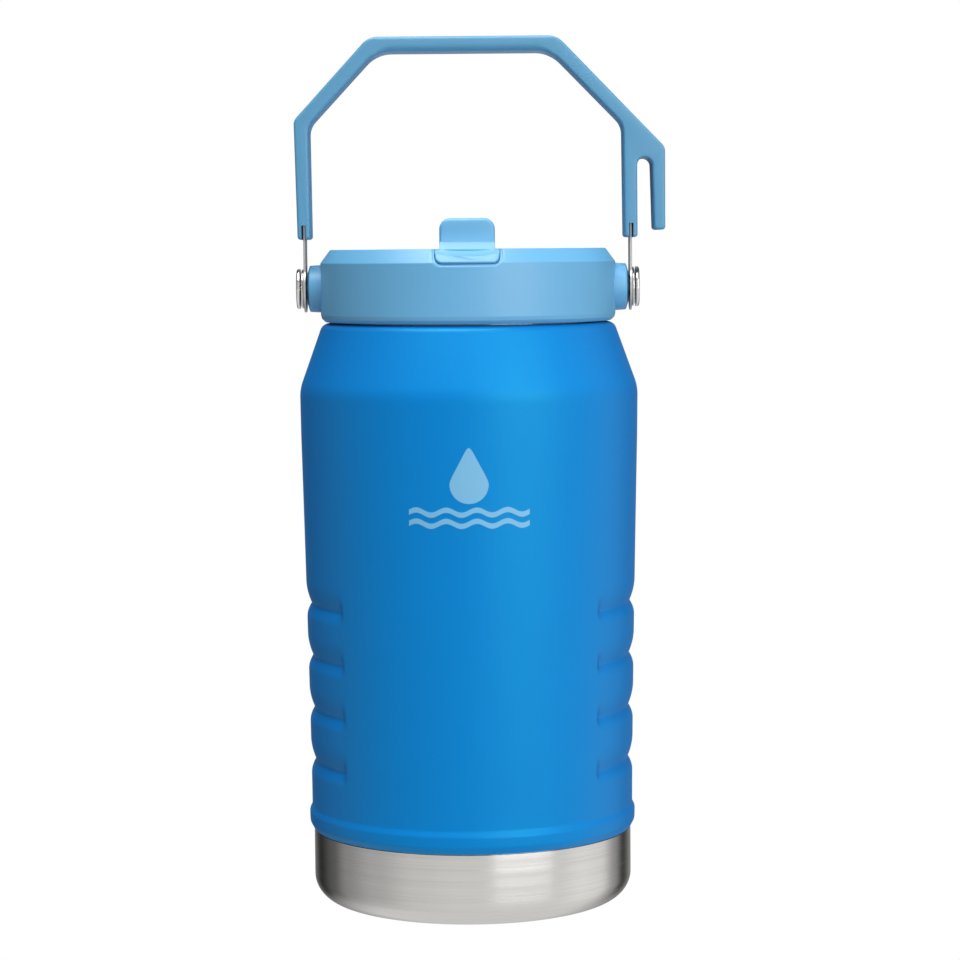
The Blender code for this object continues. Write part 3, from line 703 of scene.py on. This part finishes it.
def make_lid():
    """Lid cover: a turned cup with a boss on each side, the front notch and the long opening."""
    skirt_r = 52.9 * MM
    plate_z = LID_TOP_Z - 3.0 * MM
    run = rounded(
        [
            (0, LID_TOP_Z, 0),
            (LID_TOP_R, LID_TOP_Z, 0.9 * MM),
            (LID_R, CHAMFER_Z, 0.7 * MM),
            (LID_R, NOTCH_Z - 1.0 * MM, 0),
            (LID_R, LID_FOOT_Z + 2.7 * MM, 0.5 * MM),
            (LID_R - 0.35 * MM, LID_FOOT_Z + 1.3 * MM, 0.5 * MM),
            (LID_R - 1.7 * MM, LID_FOOT_Z, 0.5 * MM),
            (skirt_r, LID_FOOT_Z, 0.1 * MM),
            (skirt_r, plate_z, 0.4 * MM),
            (0, plate_z, 0),
        ],
        6,
        closed=False,
    )
    lid = piece("lid_cover", lathe_mesh(run, 240), LID_BLUE, None)
    cuts = [("UNION", boss_mesh(side)) for side in SIDES.values()]
    cuts += [("DIFFERENCE", notch_cutter()), ("DIFFERENCE", slot_cutter())]
    carve(lid, cuts)
    dress(lid, LID_BLUE, "lid", ["lid_shell"], sharp=35)


# Spout


SPOUT_HALF = 12.2 * MM
BAR_TOP_Z = SPOUT[1].z - 11.2 * MM
BARREL_R = 6.5 * MM
BARREL_FOOT_Z = 231.5 * MM
TAB_HALF = 10.0 * MM
TAB_Y = (-46.3 * MM, -43.2 * MM)
TAB_RIM = 1.3 * MM
SCOOP = ((-56.0 * MM, BAR_TOP_Z + 8.6 * MM), 11.3 * MM)
LEDGE_HALF = OPEN_HALF - 1.2 * MM
LEDGE_FOOT_HALF = OPEN_FOOT_HALF - 0.75 * MM
LEDGE_FOOT_Z = NOTCH_Z + 0.65 * MM
OVER_LINER_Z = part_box("lid_liner")[1].z + 0.4 * MM


def is_across(edge):
    """Whether an edge runs along X."""
    run = edge.verts[1].co - edge.verts[0].co
    return abs(run.x) > 0.99 * run.length


def make_ledge():
    """Scooped front ledge of the spout: follows the lid's side, all its front edges rounded."""
    back = -47.0 * MM
    lip_back = -51.8 * MM
    front = -60.0 * MM
    below = LEDGE_FOOT_Z - 1 * MM
    scoop = arc(*SCOOP, -51, -96, 15)
    side = [(back, BAR_TOP_Z)] + scoop + [(front, scoop[-1][1])]
    side += [(front, below), (lip_back, below)]
    side += [(lip_back, OVER_LINER_Z), (back, OVER_LINER_Z)]
    block = prism_mesh(side, -LEDGE_HALF, LEDGE_HALF, "X", 0.7 * MM, 4)
    across = [edge for edge in block.edges if edge.calc_length() > LEDGE_HALF and is_across(edge)]
    bmesh.ops.subdivide_edges(block, edges=across, cuts=20, use_grid_fill=True)
    ledge = guide(block)
    above = BAR_TOP_Z + 6 * MM
    lean = (LEDGE_HALF - LEDGE_FOOT_HALF) * (above - BAR_TOP_Z) / (BAR_TOP_Z - LEDGE_FOOT_Z)
    outline = front_outline(LEDGE_HALF + lean, above, LEDGE_FOOT_HALF, LEDGE_FOOT_Z, 2.6 * MM)
    recess = 0.45 * MM
    edge_round = 0.8 * MM
    sections = [(9 * MM, 0.0)]
    sections += [(recess + edge_round * (1 - sine), -edge_round * rise) for sine, rise in quarter()]
    carve(ledge, [("INTERSECT", front_solid(outline, sections))])
    bm = bmesh.new()
    bm.from_mesh(ledge.data)
    bpy.data.objects.remove(ledge)
    return bm


def bar_outline():
    """Side of the spout's bar and barrel in Y, Z."""
    front = -50.0 * MM
    neck_y = -34.0 * MM
    under_z = 242.4 * MM
    chamfer = 0.8 * MM
    outline = [(-2.0 * MM, BAR_TOP_Z), (front, BAR_TOP_Z), (front, OVER_LINER_Z)]
    outline += [(front + 1.5 * MM, under_z), (neck_y, under_z), (neck_y, BARREL_FOOT_Z + chamfer)]
    outline += [(neck_y + chamfer, BARREL_FOOT_Z), (-6.0 * MM, BARREL_FOOT_Z)]
    return outline + arc((0, SPOUT_Z), BARREL_R, -105, 60, 24)


def make_envelope():
    """Turned solid that keeps the bar inside the lid's chamfer."""
    top_z = 262 * MM
    foot_z = 228 * MM
    side_r = 49.5 * MM
    return lathe_mesh(
        [(0, top_z), (44 * MM, top_z), (side_r, BAR_TOP_Z + 0.2 * MM), (side_r, foot_z), (0, foot_z)], 240
    )


def make_tab():
    """Thumb tab: a plate with a rounded rim and rounded top corners."""
    low = BAR_TOP_Z - 2 * MM
    high = SPOUT[1].z
    corner = 4.0 * MM
    corners = [(-TAB_HALF, low, 0), (TAB_HALF, low, 0)]
    corners += [(TAB_HALF, high, corner), (-TAB_HALF, high, corner)]
    tab = soft_prism(rounded(corners, 12), (TAB_Y[1] - TAB_Y[0]) / 2, lambda x, z: TAB_RIM)
    middle = (0, (TAB_Y[0] + TAB_Y[1]) / 2, 0)
    bmesh.ops.translate(tab, vec=middle, verts=tab.verts[:])
    return tab


def make_tab_foot():
    """Foot that leads the front of the tab into the scoop."""
    low = BAR_TOP_Z - 2 * MM
    back = TAB_Y[1] - 0.6 * MM
    half = TAB_HALF - 0.1 * MM
    outline = [(back, low), (back, BAR_TOP_Z + 2.6 * MM)] + arc(*SCOOP, -30, -54, 8)
    outline.append((outline[-1][0], low))
    return prism_mesh(outline, -half, half, "X", 0.5 * MM, 3)


def make_spout():
    """Spout body: barrel, bar, front ledge and thumb tab with its foot."""
    body = prism_mesh(bar_outline(), -SPOUT_HALF, SPOUT_HALF, "X", 0.5 * MM, 3)
    bar = piece("spout_cover", body, LID_BLUE, None)
    nozzle_end = -12.4 * MM
    carve(
        bar,
        [
            ("INTERSECT", make_envelope()),
            ("UNION", make_ledge()),
            ("UNION", make_tab()),
            ("UNION", make_tab_foot()),
            ("DIFFERENCE", bar_mesh(4.8 * MM, -36 * MM, -12 * MM)),
            ("DIFFERENCE", bar_mesh(3.0 * MM, -12.5 * MM, 10 * MM)),
        ],
    )
    dress(bar, LID_BLUE, "flip_spout", ["spout"], sharp=35)
    tube = bar_mesh(4.5 * MM, -37.4 * MM, nozzle_end, 3.0 * MM)
    piece("spout_tip", tube, SOFT_WHITE, "flip_spout", ["spout_mouthpiece"])


def bar_mesh(radius, front_y, back_y, bore=0.0):
    """Round bar, or a tube if it has a bore, along the spout's middle line."""
    bm = bmesh.new()
    steps = 48
    turns = [math.tau * i / steps for i in range(steps)]
    sections = [(radius, front_y), (radius, back_y)]
    if bore:
        sections += [(bore, back_y), (bore, front_y)]
    rings = []
    for r, y in sections:
        rings.append([bm.verts.new((r * math.cos(t), y, SPOUT_Z + r * math.sin(t))) for t in turns])
    skin(bm, rings, bool(bore))
    if not bore:
        bm.faces.new(rings[0])
        bm.faces.new(rings[-1])
    return bm


# Handle


ARM_IN = 58.4 * MM
ARM_OUT = 63.6 * MM
GRIP_Z = HANDLE[1].z
GRIP_HALF = 34.8 * MM
BAND = 5.5 * MM
ELBOW_Z = 292.8 * MM
HOOK_IN = 68.8 * MM
HOOK_OUT = HANDLE[1].x + 0.5 * MM
HOOK_FOOT_Z = 251.5 * MM
HOOK_SLOT_X = 63.2 * MM
HOOK_SLOT_TOP_Z = 278.2 * MM
LEAN_FROM_Z = 273.5 * MM
LEAN = 0.024
FOOT_CORNER = 1.2 * MM
OUTER_CORNER = 4.0 * MM
GRIP_CORNERS = (8.0 * MM, 12.5 * MM)
INNER_CORNER = 7.5 * MM

# Strap and rivet of each arm, in the slot of the arm's foot
SLOT_X = (60.05 * MM, 61.65 * MM)
SLOT_HALF = 6.6 * MM
SLOT_TOP_Z = 276.5 * MM
MOUTH_HALF = 12 * MM
MOUTH_TOP_Z = 254.1 * MM
STRAP_X = (60.45 * MM, 61.25 * MM)
STRAP_HALF = 6.0 * MM
STRAP_TOP_Z = 276.2 * MM
STRAP_EYE_R = 8.8 * MM
RIVET_HOLE_R = 1.8 * MM


def handle_outline():
    """Bail outline in X, Z, with the open hook on the right arm."""
    foot = HANDLE[0].z
    slope = math.atan2(GRIP_Z - ELBOW_Z, ARM_OUT - GRIP_HALF)
    grip_in = GRIP_HALF - BAND * math.tan(slope / 2)
    elbow_in = ELBOW_Z - BAND * math.tan((math.pi / 2 - slope) / 2)
    hook_top = ELBOW_Z - (HOOK_OUT - ARM_OUT) * math.tan(slope)
    slot_r = (HOOK_IN - HOOK_SLOT_X) / 2
    corners = [
        (-ARM_IN, foot, FOOT_CORNER),
        (-ARM_OUT + 0.5 * MM, foot, FOOT_CORNER),
        (-ARM_OUT, ELBOW_Z, OUTER_CORNER),
        (-GRIP_HALF, GRIP_Z, GRIP_CORNERS[0]),
        (GRIP_HALF, GRIP_Z, GRIP_CORNERS[0]),
        (HOOK_OUT, hook_top, OUTER_CORNER),
        (HOOK_OUT - 0.2 * MM, HOOK_FOOT_Z, FOOT_CORNER),
        (HOOK_IN + 0.6 * MM, HOOK_FOOT_Z, FOOT_CORNER),
    ]
    slot = arc((HOOK_SLOT_X + slot_r, HOOK_SLOT_TOP_Z - slot_r), slot_r, 0, 180, 20)
    corners += [(u, v, 0) for u, v in slot]
    corners += [
        (HOOK_SLOT_X, foot, FOOT_CORNER),
        (ARM_IN, foot, FOOT_CORNER),
        (ARM_IN, elbow_in, INNER_CORNER),
        (grip_in, GRIP_Z - BAND, GRIP_CORNERS[1]),
        (-grip_in, GRIP_Z - BAND, GRIP_CORNERS[1]),
        (-ARM_IN, elbow_in, INNER_CORNER),
    ]
    return rounded(corners, 12)


def rim_rounding(x, z):
    """Rounding of the bail's rim: larger along the top of the grip, largest under it."""
    arm = 1.0 * MM
    inside = max(0.0, min(1.0, (GRIP_HALF - 1 * MM - abs(x)) / (7 * MM)))
    if z > GRIP_Z - 1 * MM:
        return arm + 1.0 * MM * inside
    if z > GRIP_Z - BAND - 1 * MM:
        return arm + 1.6 * MM * inside
    return arm


def soft_prism(outline, half, rounding_at):
    """Outline in X, Z extruded along Y, its rims rounded by an amount that changes along them."""
    count = len(outline)
    area = sum(
        outline[i - 1][0] * outline[i][1] - outline[i][0] * outline[i - 1][1] for i in range(count)
    )
    turned = 1 if area > 0 else -1
    inward = []
    for i in range(count):
        run = (Vector(outline[(i + 1) % count]) - Vector(outline[i - 1])).normalized()
        inward.append(Vector((-run.y, run.x)) * turned)
    bm = bmesh.new()
    rings = []
    for side in (-1, 1):
        for sine, rise in quarter()[::-side]:
            ring = []
            for (x, z), way in zip(outline, inward):
                amount = rounding_at(x, z)
                moved = Vector((x, z)) + way * amount * (1 - sine)
                ring.append(bm.verts.new((moved.x, side * (half - amount * rise), moved.y)))
            rings.append(ring)
    skin(bm, rings, False)
    bm.faces.new(rings[0])
    bm.faces.new(rings[-1])
    return bm


def rivet_hole(side):
    """Cutter for the rivet's stepped hole through an arm; distances are from the middle outwards."""
    head_r = 2.9 * MM
    near_x = (57.0 * MM, 59.5 * MM)
    far_x = (62.4 * MM, 64.2 * MM)
    hole = [(0, near_x[0]), (head_r, near_x[0]), (head_r, near_x[1]), (RIVET_HOLE_R, near_x[1])]
    hole += [(RIVET_HOLE_R, far_x[0]), (head_r, far_x[0]), (head_r, far_x[1]), (0, far_x[1])]
    return lathe_mesh(hole, 40, side, (0, 0, RIVET_Z))


def make_handle():
    """Bail with the open hook; it leans a little, as in the photo, and is slotted for the straps."""
    half = HANDLE[1].y
    handle = piece("bail", soft_prism(handle_outline(), half, rim_rounding), HANDLE_BLUE, None)
    for vert in handle.data.vertices:
        vert.co.x -= LEAN * max(0.0, vert.co.z - LEAN_FROM_Z)
    cuts = []
    for side in SIDES.values():
        x = sorted(side * distance for distance in SLOT_X)
        mouth = box_mesh(x, (-MOUTH_HALF, MOUTH_HALF), (240 * MM, MOUTH_TOP_Z))
        slot = box_mesh(x, (-SLOT_HALF, SLOT_HALF), (250 * MM, SLOT_TOP_Z))
        cuts += [("DIFFERENCE", cutter) for cutter in (mouth, slot, rivet_hole(side))]
    carve(handle, cuts)
    dress(handle, HANDLE_BLUE, "bail", ["handle"], sharp=35)


# Pivots; distances are from the jug's middle outwards


def make_washer(name, side):
    bore = 1.8 * MM
    rim = 7.35 * MM
    faces = (61.45 * MM, 62.15 * MM)
    outer_round = 0.25 * MM
    bore_round = 0.05 * MM
    corners = [(rim, faces[0], outer_round), (rim, faces[1], outer_round)]
    corners += [(bore, faces[1], bore_round), (bore, faces[0], bore_round)]
    washer = lathe_mesh(rounded(corners, 4), 96, side, (0, 0, PIVOT_Z))
    piece("washer" + name, washer, POLISHED, "lid", ["pivot_washer" + name])


def make_screw(name, side):
    """Shoulder screw with a domed head."""
    shank_r = 1.5 * MM
    shank_end = 55.8 * MM
    under_head = 62.5 * MM
    head_r = 7.5 * MM
    corners = [
        (head_r - 1.0 * MM, under_head, 0),
        (head_r, under_head + 0.25 * MM, 0.3 * MM),
        (head_r, under_head + 1.55 * MM, 0.75 * MM),
        (0, under_head + 1.9 * MM, 0),
    ]
    profile = [(0, shank_end), (shank_r, shank_end), (shank_r, under_head)]
    profile += rounded(corners, 8, closed=False)
    screw = lathe_mesh(profile, 96, side, (0, 0, PIVOT_Z))
    piece("screw" + name, screw, POLISHED, "lid", ["pivot_screw" + name])


def through_hole(radius, steps, side, height):
    """Cutter for a round hole through the strap."""
    ends = (58 * MM, 64 * MM)
    loop = [(0, ends[0]), (radius, ends[0]), (radius, ends[1]), (0, ends[1])]
    return lathe_mesh(loop, steps, side, (0, 0, height))


def make_strap(name, side):
    """Steel strap from a round eye on the pivot up into the arm."""
    half = STRAP_HALF
    top = STRAP_TOP_Z
    cut = 2 * MM
    lean = math.degrees(math.acos(half / STRAP_EYE_R))
    outline = arc((0, PIVOT_Z), STRAP_EYE_R, 180 - lean, 360 + lean, 56)
    outline += [(half, top - cut), (half - cut, top), (cut - half, top), (-half, top - cut)]
    x = sorted(side * distance for distance in STRAP_X)
    strap = piece("strap" + name, prism_mesh(outline, *x, "X", 0.15 * MM, 2), STRAP_STEEL, None)
    eye = through_hole(4.3 * MM, 64, side, PIVOT_Z)
    pin = through_hole(RIVET_HOLE_R, 32, side, RIVET_Z)
    carve(strap, [("DIFFERENCE", eye), ("DIFFERENCE", pin)])
    dress(strap, STRAP_STEEL, "bail", ["handle_strap" + name])


def make_rivet(name, side):
    """Rivet through the arm and the strap, with a low head at both ends."""
    head_r = 2.6 * MM
    shank_r = 1.5 * MM
    bevel = 0.4 * MM
    near_x = 58.7 * MM
    far_x = 63.3 * MM
    rivet = [(0, near_x), (head_r - bevel, near_x), (head_r, near_x + 0.3 * MM)]
    rivet += [(head_r, near_x + 0.5 * MM), (shank_r, near_x + 0.5 * MM), (shank_r, far_x - 0.6 * MM)]
    rivet += [(head_r, far_x - 0.6 * MM), (head_r, far_x - 0.3 * MM), (head_r - bevel, far_x)]
    rivet.append((0, far_x + 0.1 * MM))
    rivet_mesh = lathe_mesh(rivet, 48, side, (0, 0, RIVET_Z))
    piece("rivet" + name, rivet_mesh, STRAP_STEEL, "bail", ["strap_rivet" + name])


def make_pivot(name, side):
    make_washer(name, side)
    make_screw(name, side)
    make_strap(name, side)
    make_rivet(name, side)


# Printed mark

MARK_Z = 160 * MM
MARK_PROUD = 0.05 * MM
MARK_SUNK = 0.10 * MM


def print_patch(name, runs, closed):
    """Thin patch of print on the front of the shell, through runs of points (across, height)."""
    bm = bmesh.new()
    rings = []
    for points in zip(*runs):
        ring = []
        for lift, row in ((MARK_PROUD, points), (-MARK_SUNK, points[::-1])):
            for across, height in row:
                radius = shell_radius(MARK_Z + height)
                turn = across / radius
                radius += lift
                place = (radius * math.sin(turn), -radius * math.cos(turn), MARK_Z + height)
                ring.append(bm.verts.new(place))
        rings.append(ring)
    skin(bm, rings, closed)
    if not closed:
        bm.faces.new(rings[0])
        bm.faces.new(rings[-1])
    piece(name, bm, PRINT_BLUE, "jug", slot="body_coat")


def drop_run(scale):
    """Water drop: a round foot with its centre at zero, and sides that curve in to a tip."""
    foot = 7.0 * MM
    tip = 13.0 * MM
    rise = 1.5 * MM
    waist = 0.55
    steps = 72
    run = []
    for i in range(steps):
        turn = math.tau * i / steps
        upper = max(0.0, math.cos(turn))
        across = foot * math.sin(turn) * (1 - waist * upper**1.6)
        height = foot * math.cos(turn) + (tip - foot) * upper**2.2
        run.append((scale * across, scale * height + rise))
    return run


def wave_runs(middle):
    """Upper and lower run of a wavy stroke."""
    stroke = 1.9 * MM
    length = 44 * MM
    swing = 0.9 * MM
    pitch = 11 * MM
    steps = 80
    xs = [length * (k / steps - 0.5) for k in range(steps + 1)]
    wave = [(x, middle + swing * math.sin(math.tau * x / pitch)) for x in xs]
    return [[(x, z + side * stroke / 2) for x, z in wave] for side in (1, -1)]


def make_mark():
    """Plain water drop over two waves."""
    rings = 9
    print_patch("mark_drop", [drop_run(1 - k / (rings - 0.9)) for k in range(rings)], True)
    for i, middle in enumerate((-8.6 * MM, -12.6 * MM)):
        print_patch("mark_wave_%d" % (i + 1), wave_runs(middle), False)


# CAD pieces that are shown as they are


def paint_frame():
    """Materials for the CAD nodes that stay."""
    finishes = {
        "inner_vessel": VESSEL_STEEL,
        "port_bead": DULL_METAL,
        "getter": DULL_METAL,
        "lid_gasket": SOFT_WHITE,
        "straw": CLEAR,
        "lid_liner": WHITE_PLASTIC,
        "vent_valve": SOFT_WHITE,
        "straw_socket": SOFT_WHITE,
        "spout_pin_left": POLISHED,
        "spout_pin_right": POLISHED,
        "pivot_insert_left": BRASS,
        "pivot_insert_right": BRASS,
        "pivot_bush_left": BUSH_PLASTIC,
        "pivot_bush_right": BUSH_PLASTIC,
    }
    for node, material in finishes.items():
        thing = frame["nodes"][node]
        thing.data.materials.clear()
        thing.data.materials.append(material)


# Studio

CAMERA_PLACE = (3.9 * MM, -1090 * MM, 244.8 * MM)
CAMERA_LENS = 108.75
CAMERA_DOWN = 4.55
CAMERA_ROLL = -0.48
LIGHT_AIM_Z = 170 * MM

# Glow of the ceiling, share of the walls' glow that lights the jug softly, glow of the table in
# reflections as a multiple of the walls', and its glow straight below
CEILING_GLOW = 0.20
SOFT_SHARE = 0.40
TABLE_GLOW = 1.35
UNDER_GLOW = 0.65


def make_camera():
    """Camera a little above the lid, looking slightly down, as a product shot is taken."""
    data = bpy.data.cameras.new("camera")
    data.sensor_width = 36.0
    data.lens = CAMERA_LENS
    data.clip_start = 0.05
    data.clip_end = 60.0
    camera = bpy.data.objects.new("camera", data)
    bpy.context.scene.collection.objects.link(camera)
    camera.location = CAMERA_PLACE
    tilt = Matrix.Rotation(math.radians(90 - CAMERA_DOWN), 3, "X")
    roll = Matrix.Rotation(math.radians(CAMERA_ROLL), 3, "Z")
    camera.rotation_euler = (tilt @ roll).to_euler()
    bpy.context.scene.camera = camera


def area_light(name, azimuth, elevation, distance, size, power):
    """Soft box aimed at the jug; azimuth counts from the front towards the hook side."""
    data = bpy.data.lights.new(name, "AREA")
    data.shape = "RECTANGLE"
    data.size, data.size_y = size
    data.energy = power
    light = bpy.data.objects.new(name, data)
    bpy.context.scene.collection.objects.link(light)
    turn = math.radians(azimuth)
    lift = math.radians(elevation)
    way = Vector((math.sin(turn) * math.cos(lift), -math.cos(turn) * math.cos(lift), math.sin(lift)))
    light.location = Vector((0, 0, LIGHT_AIM_Z)) + way * distance
    light.rotation_euler = (-way).to_track_quat("-Z", "Y").to_euler()
    light.visible_glossy = name not in HIDDEN_IN_REFLECTIONS


# Soft boxes: azimuth and elevation in degrees, distance, size, and power in watts
LIGHTS = {
    "key": (36, 12, 1.40, (1.10, 1.40), 11.0),
    "key_soft": (34, 10, 1.40, (1.00, 1.20), 3.0),
    "front_top": (-20, 66, 1.30, (1.20, 0.60), 6.5),
    "top": (-60, 80, 1.10, (0.80, 0.70), 8.5),
    "back": (180, 35, 1.50, (1.00, 0.70), 7.0),
}
HIDDEN_IN_REFLECTIONS = ("key_soft", "back")

# Brightness of the studio's walls round the jug: azimuth from the front towards the hook side
SURROUND = {
    -180: 0.55,
    -166: 0.14,
    -145: 0.02,
    -120: 0.10,
    -104: 0.26,
    -75: 0.42,
    -40: 0.60,
    -10: 0.66,
    20: 0.66,
    60: 0.66,
    86: 0.80,
    106: 0.74,
    124: 0.30,
    140: 0.03,
    166: 0.22,
    180: 0.55,
}


def make_studio():
    for name, values in LIGHTS.items():
        area_light(name, *values)
    make_world()
    make_floor()


def surround_glow(graph, x, y):
    """Brightness of the studio walls in the direction of X, Y."""
    turn = graph.maths("ARCTAN2", x, graph.maths("MULTIPLY", y, -1.0))
    ramp = graph.node("ShaderNodeValToRGB")
    graph.feed(ramp.inputs[0], graph.maths("MULTIPLY_ADD", turn, 1 / math.tau, 0.5))
    ramp.color_ramp.interpolation = "EASE"
    stops = ramp.color_ramp.elements
    for azimuth, glow in SURROUND.items():
        place = azimuth / 360 + 0.5
        stop = {-180: stops[0], 180: stops[-1]}.get(azimuth) or stops.new(place)
        stop.position = place
        stop.color = (glow, glow, glow, 1)
    return ramp.outputs[0]


class WorldGraph(Graph):
    """The same helper for the world's nodes."""

    def __init__(self, world):
        world.use_nodes = True
        self.tree = world.node_tree
        self.shader = self.tree.nodes["Background"]
        self.position = self.node("ShaderNodeTexCoord").outputs["Generated"]

    def glow(self, strength):
        made = self.node("ShaderNodeBackground")
        made.inputs["Color"].default_value = (strength, strength, strength, 1)
        return made.outputs[0]

    def choose(self, share, first, second):
        made = self.node("ShaderNodeMixShader")
        for socket, value in zip(made.inputs, (share, first, second)):
            self.feed(socket, value)
        return made.outputs[0]


def make_world():
    """White to the camera; to the jug, studio walls, brightest on the right and darkest behind its sides."""
    world = bpy.data.worlds.new("studio")
    bpy.context.scene.world = world
    g = WorldGraph(world)
    split = g.node("ShaderNodeSeparateXYZ")
    g.feed(split.inputs[0], g.position)
    x, y, z = split.outputs
    path = g.node("ShaderNodeLightPath").outputs
    g.put("Color", surround_glow(g, x, y))
    g.put("Strength", g.maths("MULTIPLY_ADD", path["Is Diffuse Ray"], SOFT_SHARE - 1.0, 1.0))
    high = g.spread(z, 0.0, 1.0, 0.55, 0.85)
    room = g.choose(high, g.shader.outputs[0], g.glow(CEILING_GLOW))
    seen = g.choose(path["Is Camera Ray"], room, g.glow(1.0))
    g.feed(g.tree.nodes["World Output"].inputs["Surface"], seen)


def make_floor():
    """Pale matt floor: white to the camera, and in reflections as bright as the walls it leads to."""
    bm = bmesh.new()
    bmesh.ops.create_grid(bm, x_segments=1, y_segments=1, size=12.0)
    mesh = bpy.data.meshes.new("floor")
    bm.to_mesh(mesh)
    bm.free()
    floor = bpy.data.objects.new("floor", mesh)
    bpy.context.scene.collection.objects.link(floor)
    floor.location.z = -0.2 * MM
    g = Graph("floor_white", (0.36, 0.36, 0.36), 0.8)
    grey = g.mix(g.spread(g.noise(3.0), 0.0, 1.0), (0.35, 0.35, 0.35, 1), (0.37, 0.37, 0.37, 1))
    g.put("Base Color", grey)
    split = g.node("ShaderNodeSeparateXYZ")
    g.feed(split.inputs[0], g.node("ShaderNodeNewGeometry").outputs["Incoming"])
    ahead = [g.maths("MULTIPLY", part, -1.0) for part in split.outputs[:2]]
    steep = g.spread(split.outputs[2], 0.0, 1.0, 0.40, 0.80)
    path = g.node("ShaderNodeLightPath").outputs
    white = g.node("ShaderNodeEmission")
    lit = g.node("ShaderNodeEmission")
    g.feed(lit.inputs["Color"], g.mix(steep, surround_glow(g, *ahead), (UNDER_GLOW,) * 3 + (1,)))
    g.feed(lit.inputs["Strength"], TABLE_GLOW)
    out = g.shader.outputs[0]
    for ray, glow in (("Is Glossy Ray", lit), ("Is Camera Ray", white)):
        mix = g.node("ShaderNodeMixShader")
        for socket, value in zip(mix.inputs, (path[ray], out, glow.outputs[0])):
            g.feed(socket, value)
        out = mix.outputs[0]
    g.feed(g.tree.nodes["Material Output"].inputs["Surface"], out)
    mesh.materials.append(g.material)


make_shell()
make_base()
make_lid()
make_spout()
make_handle()
for side_name, side_sign in SIDES.items():
    make_pivot(side_name, side_sign)
make_mark()
paint_frame()
make_camera()
make_studio()
bpy.context.scene.view_settings.view_transform = "Standard"
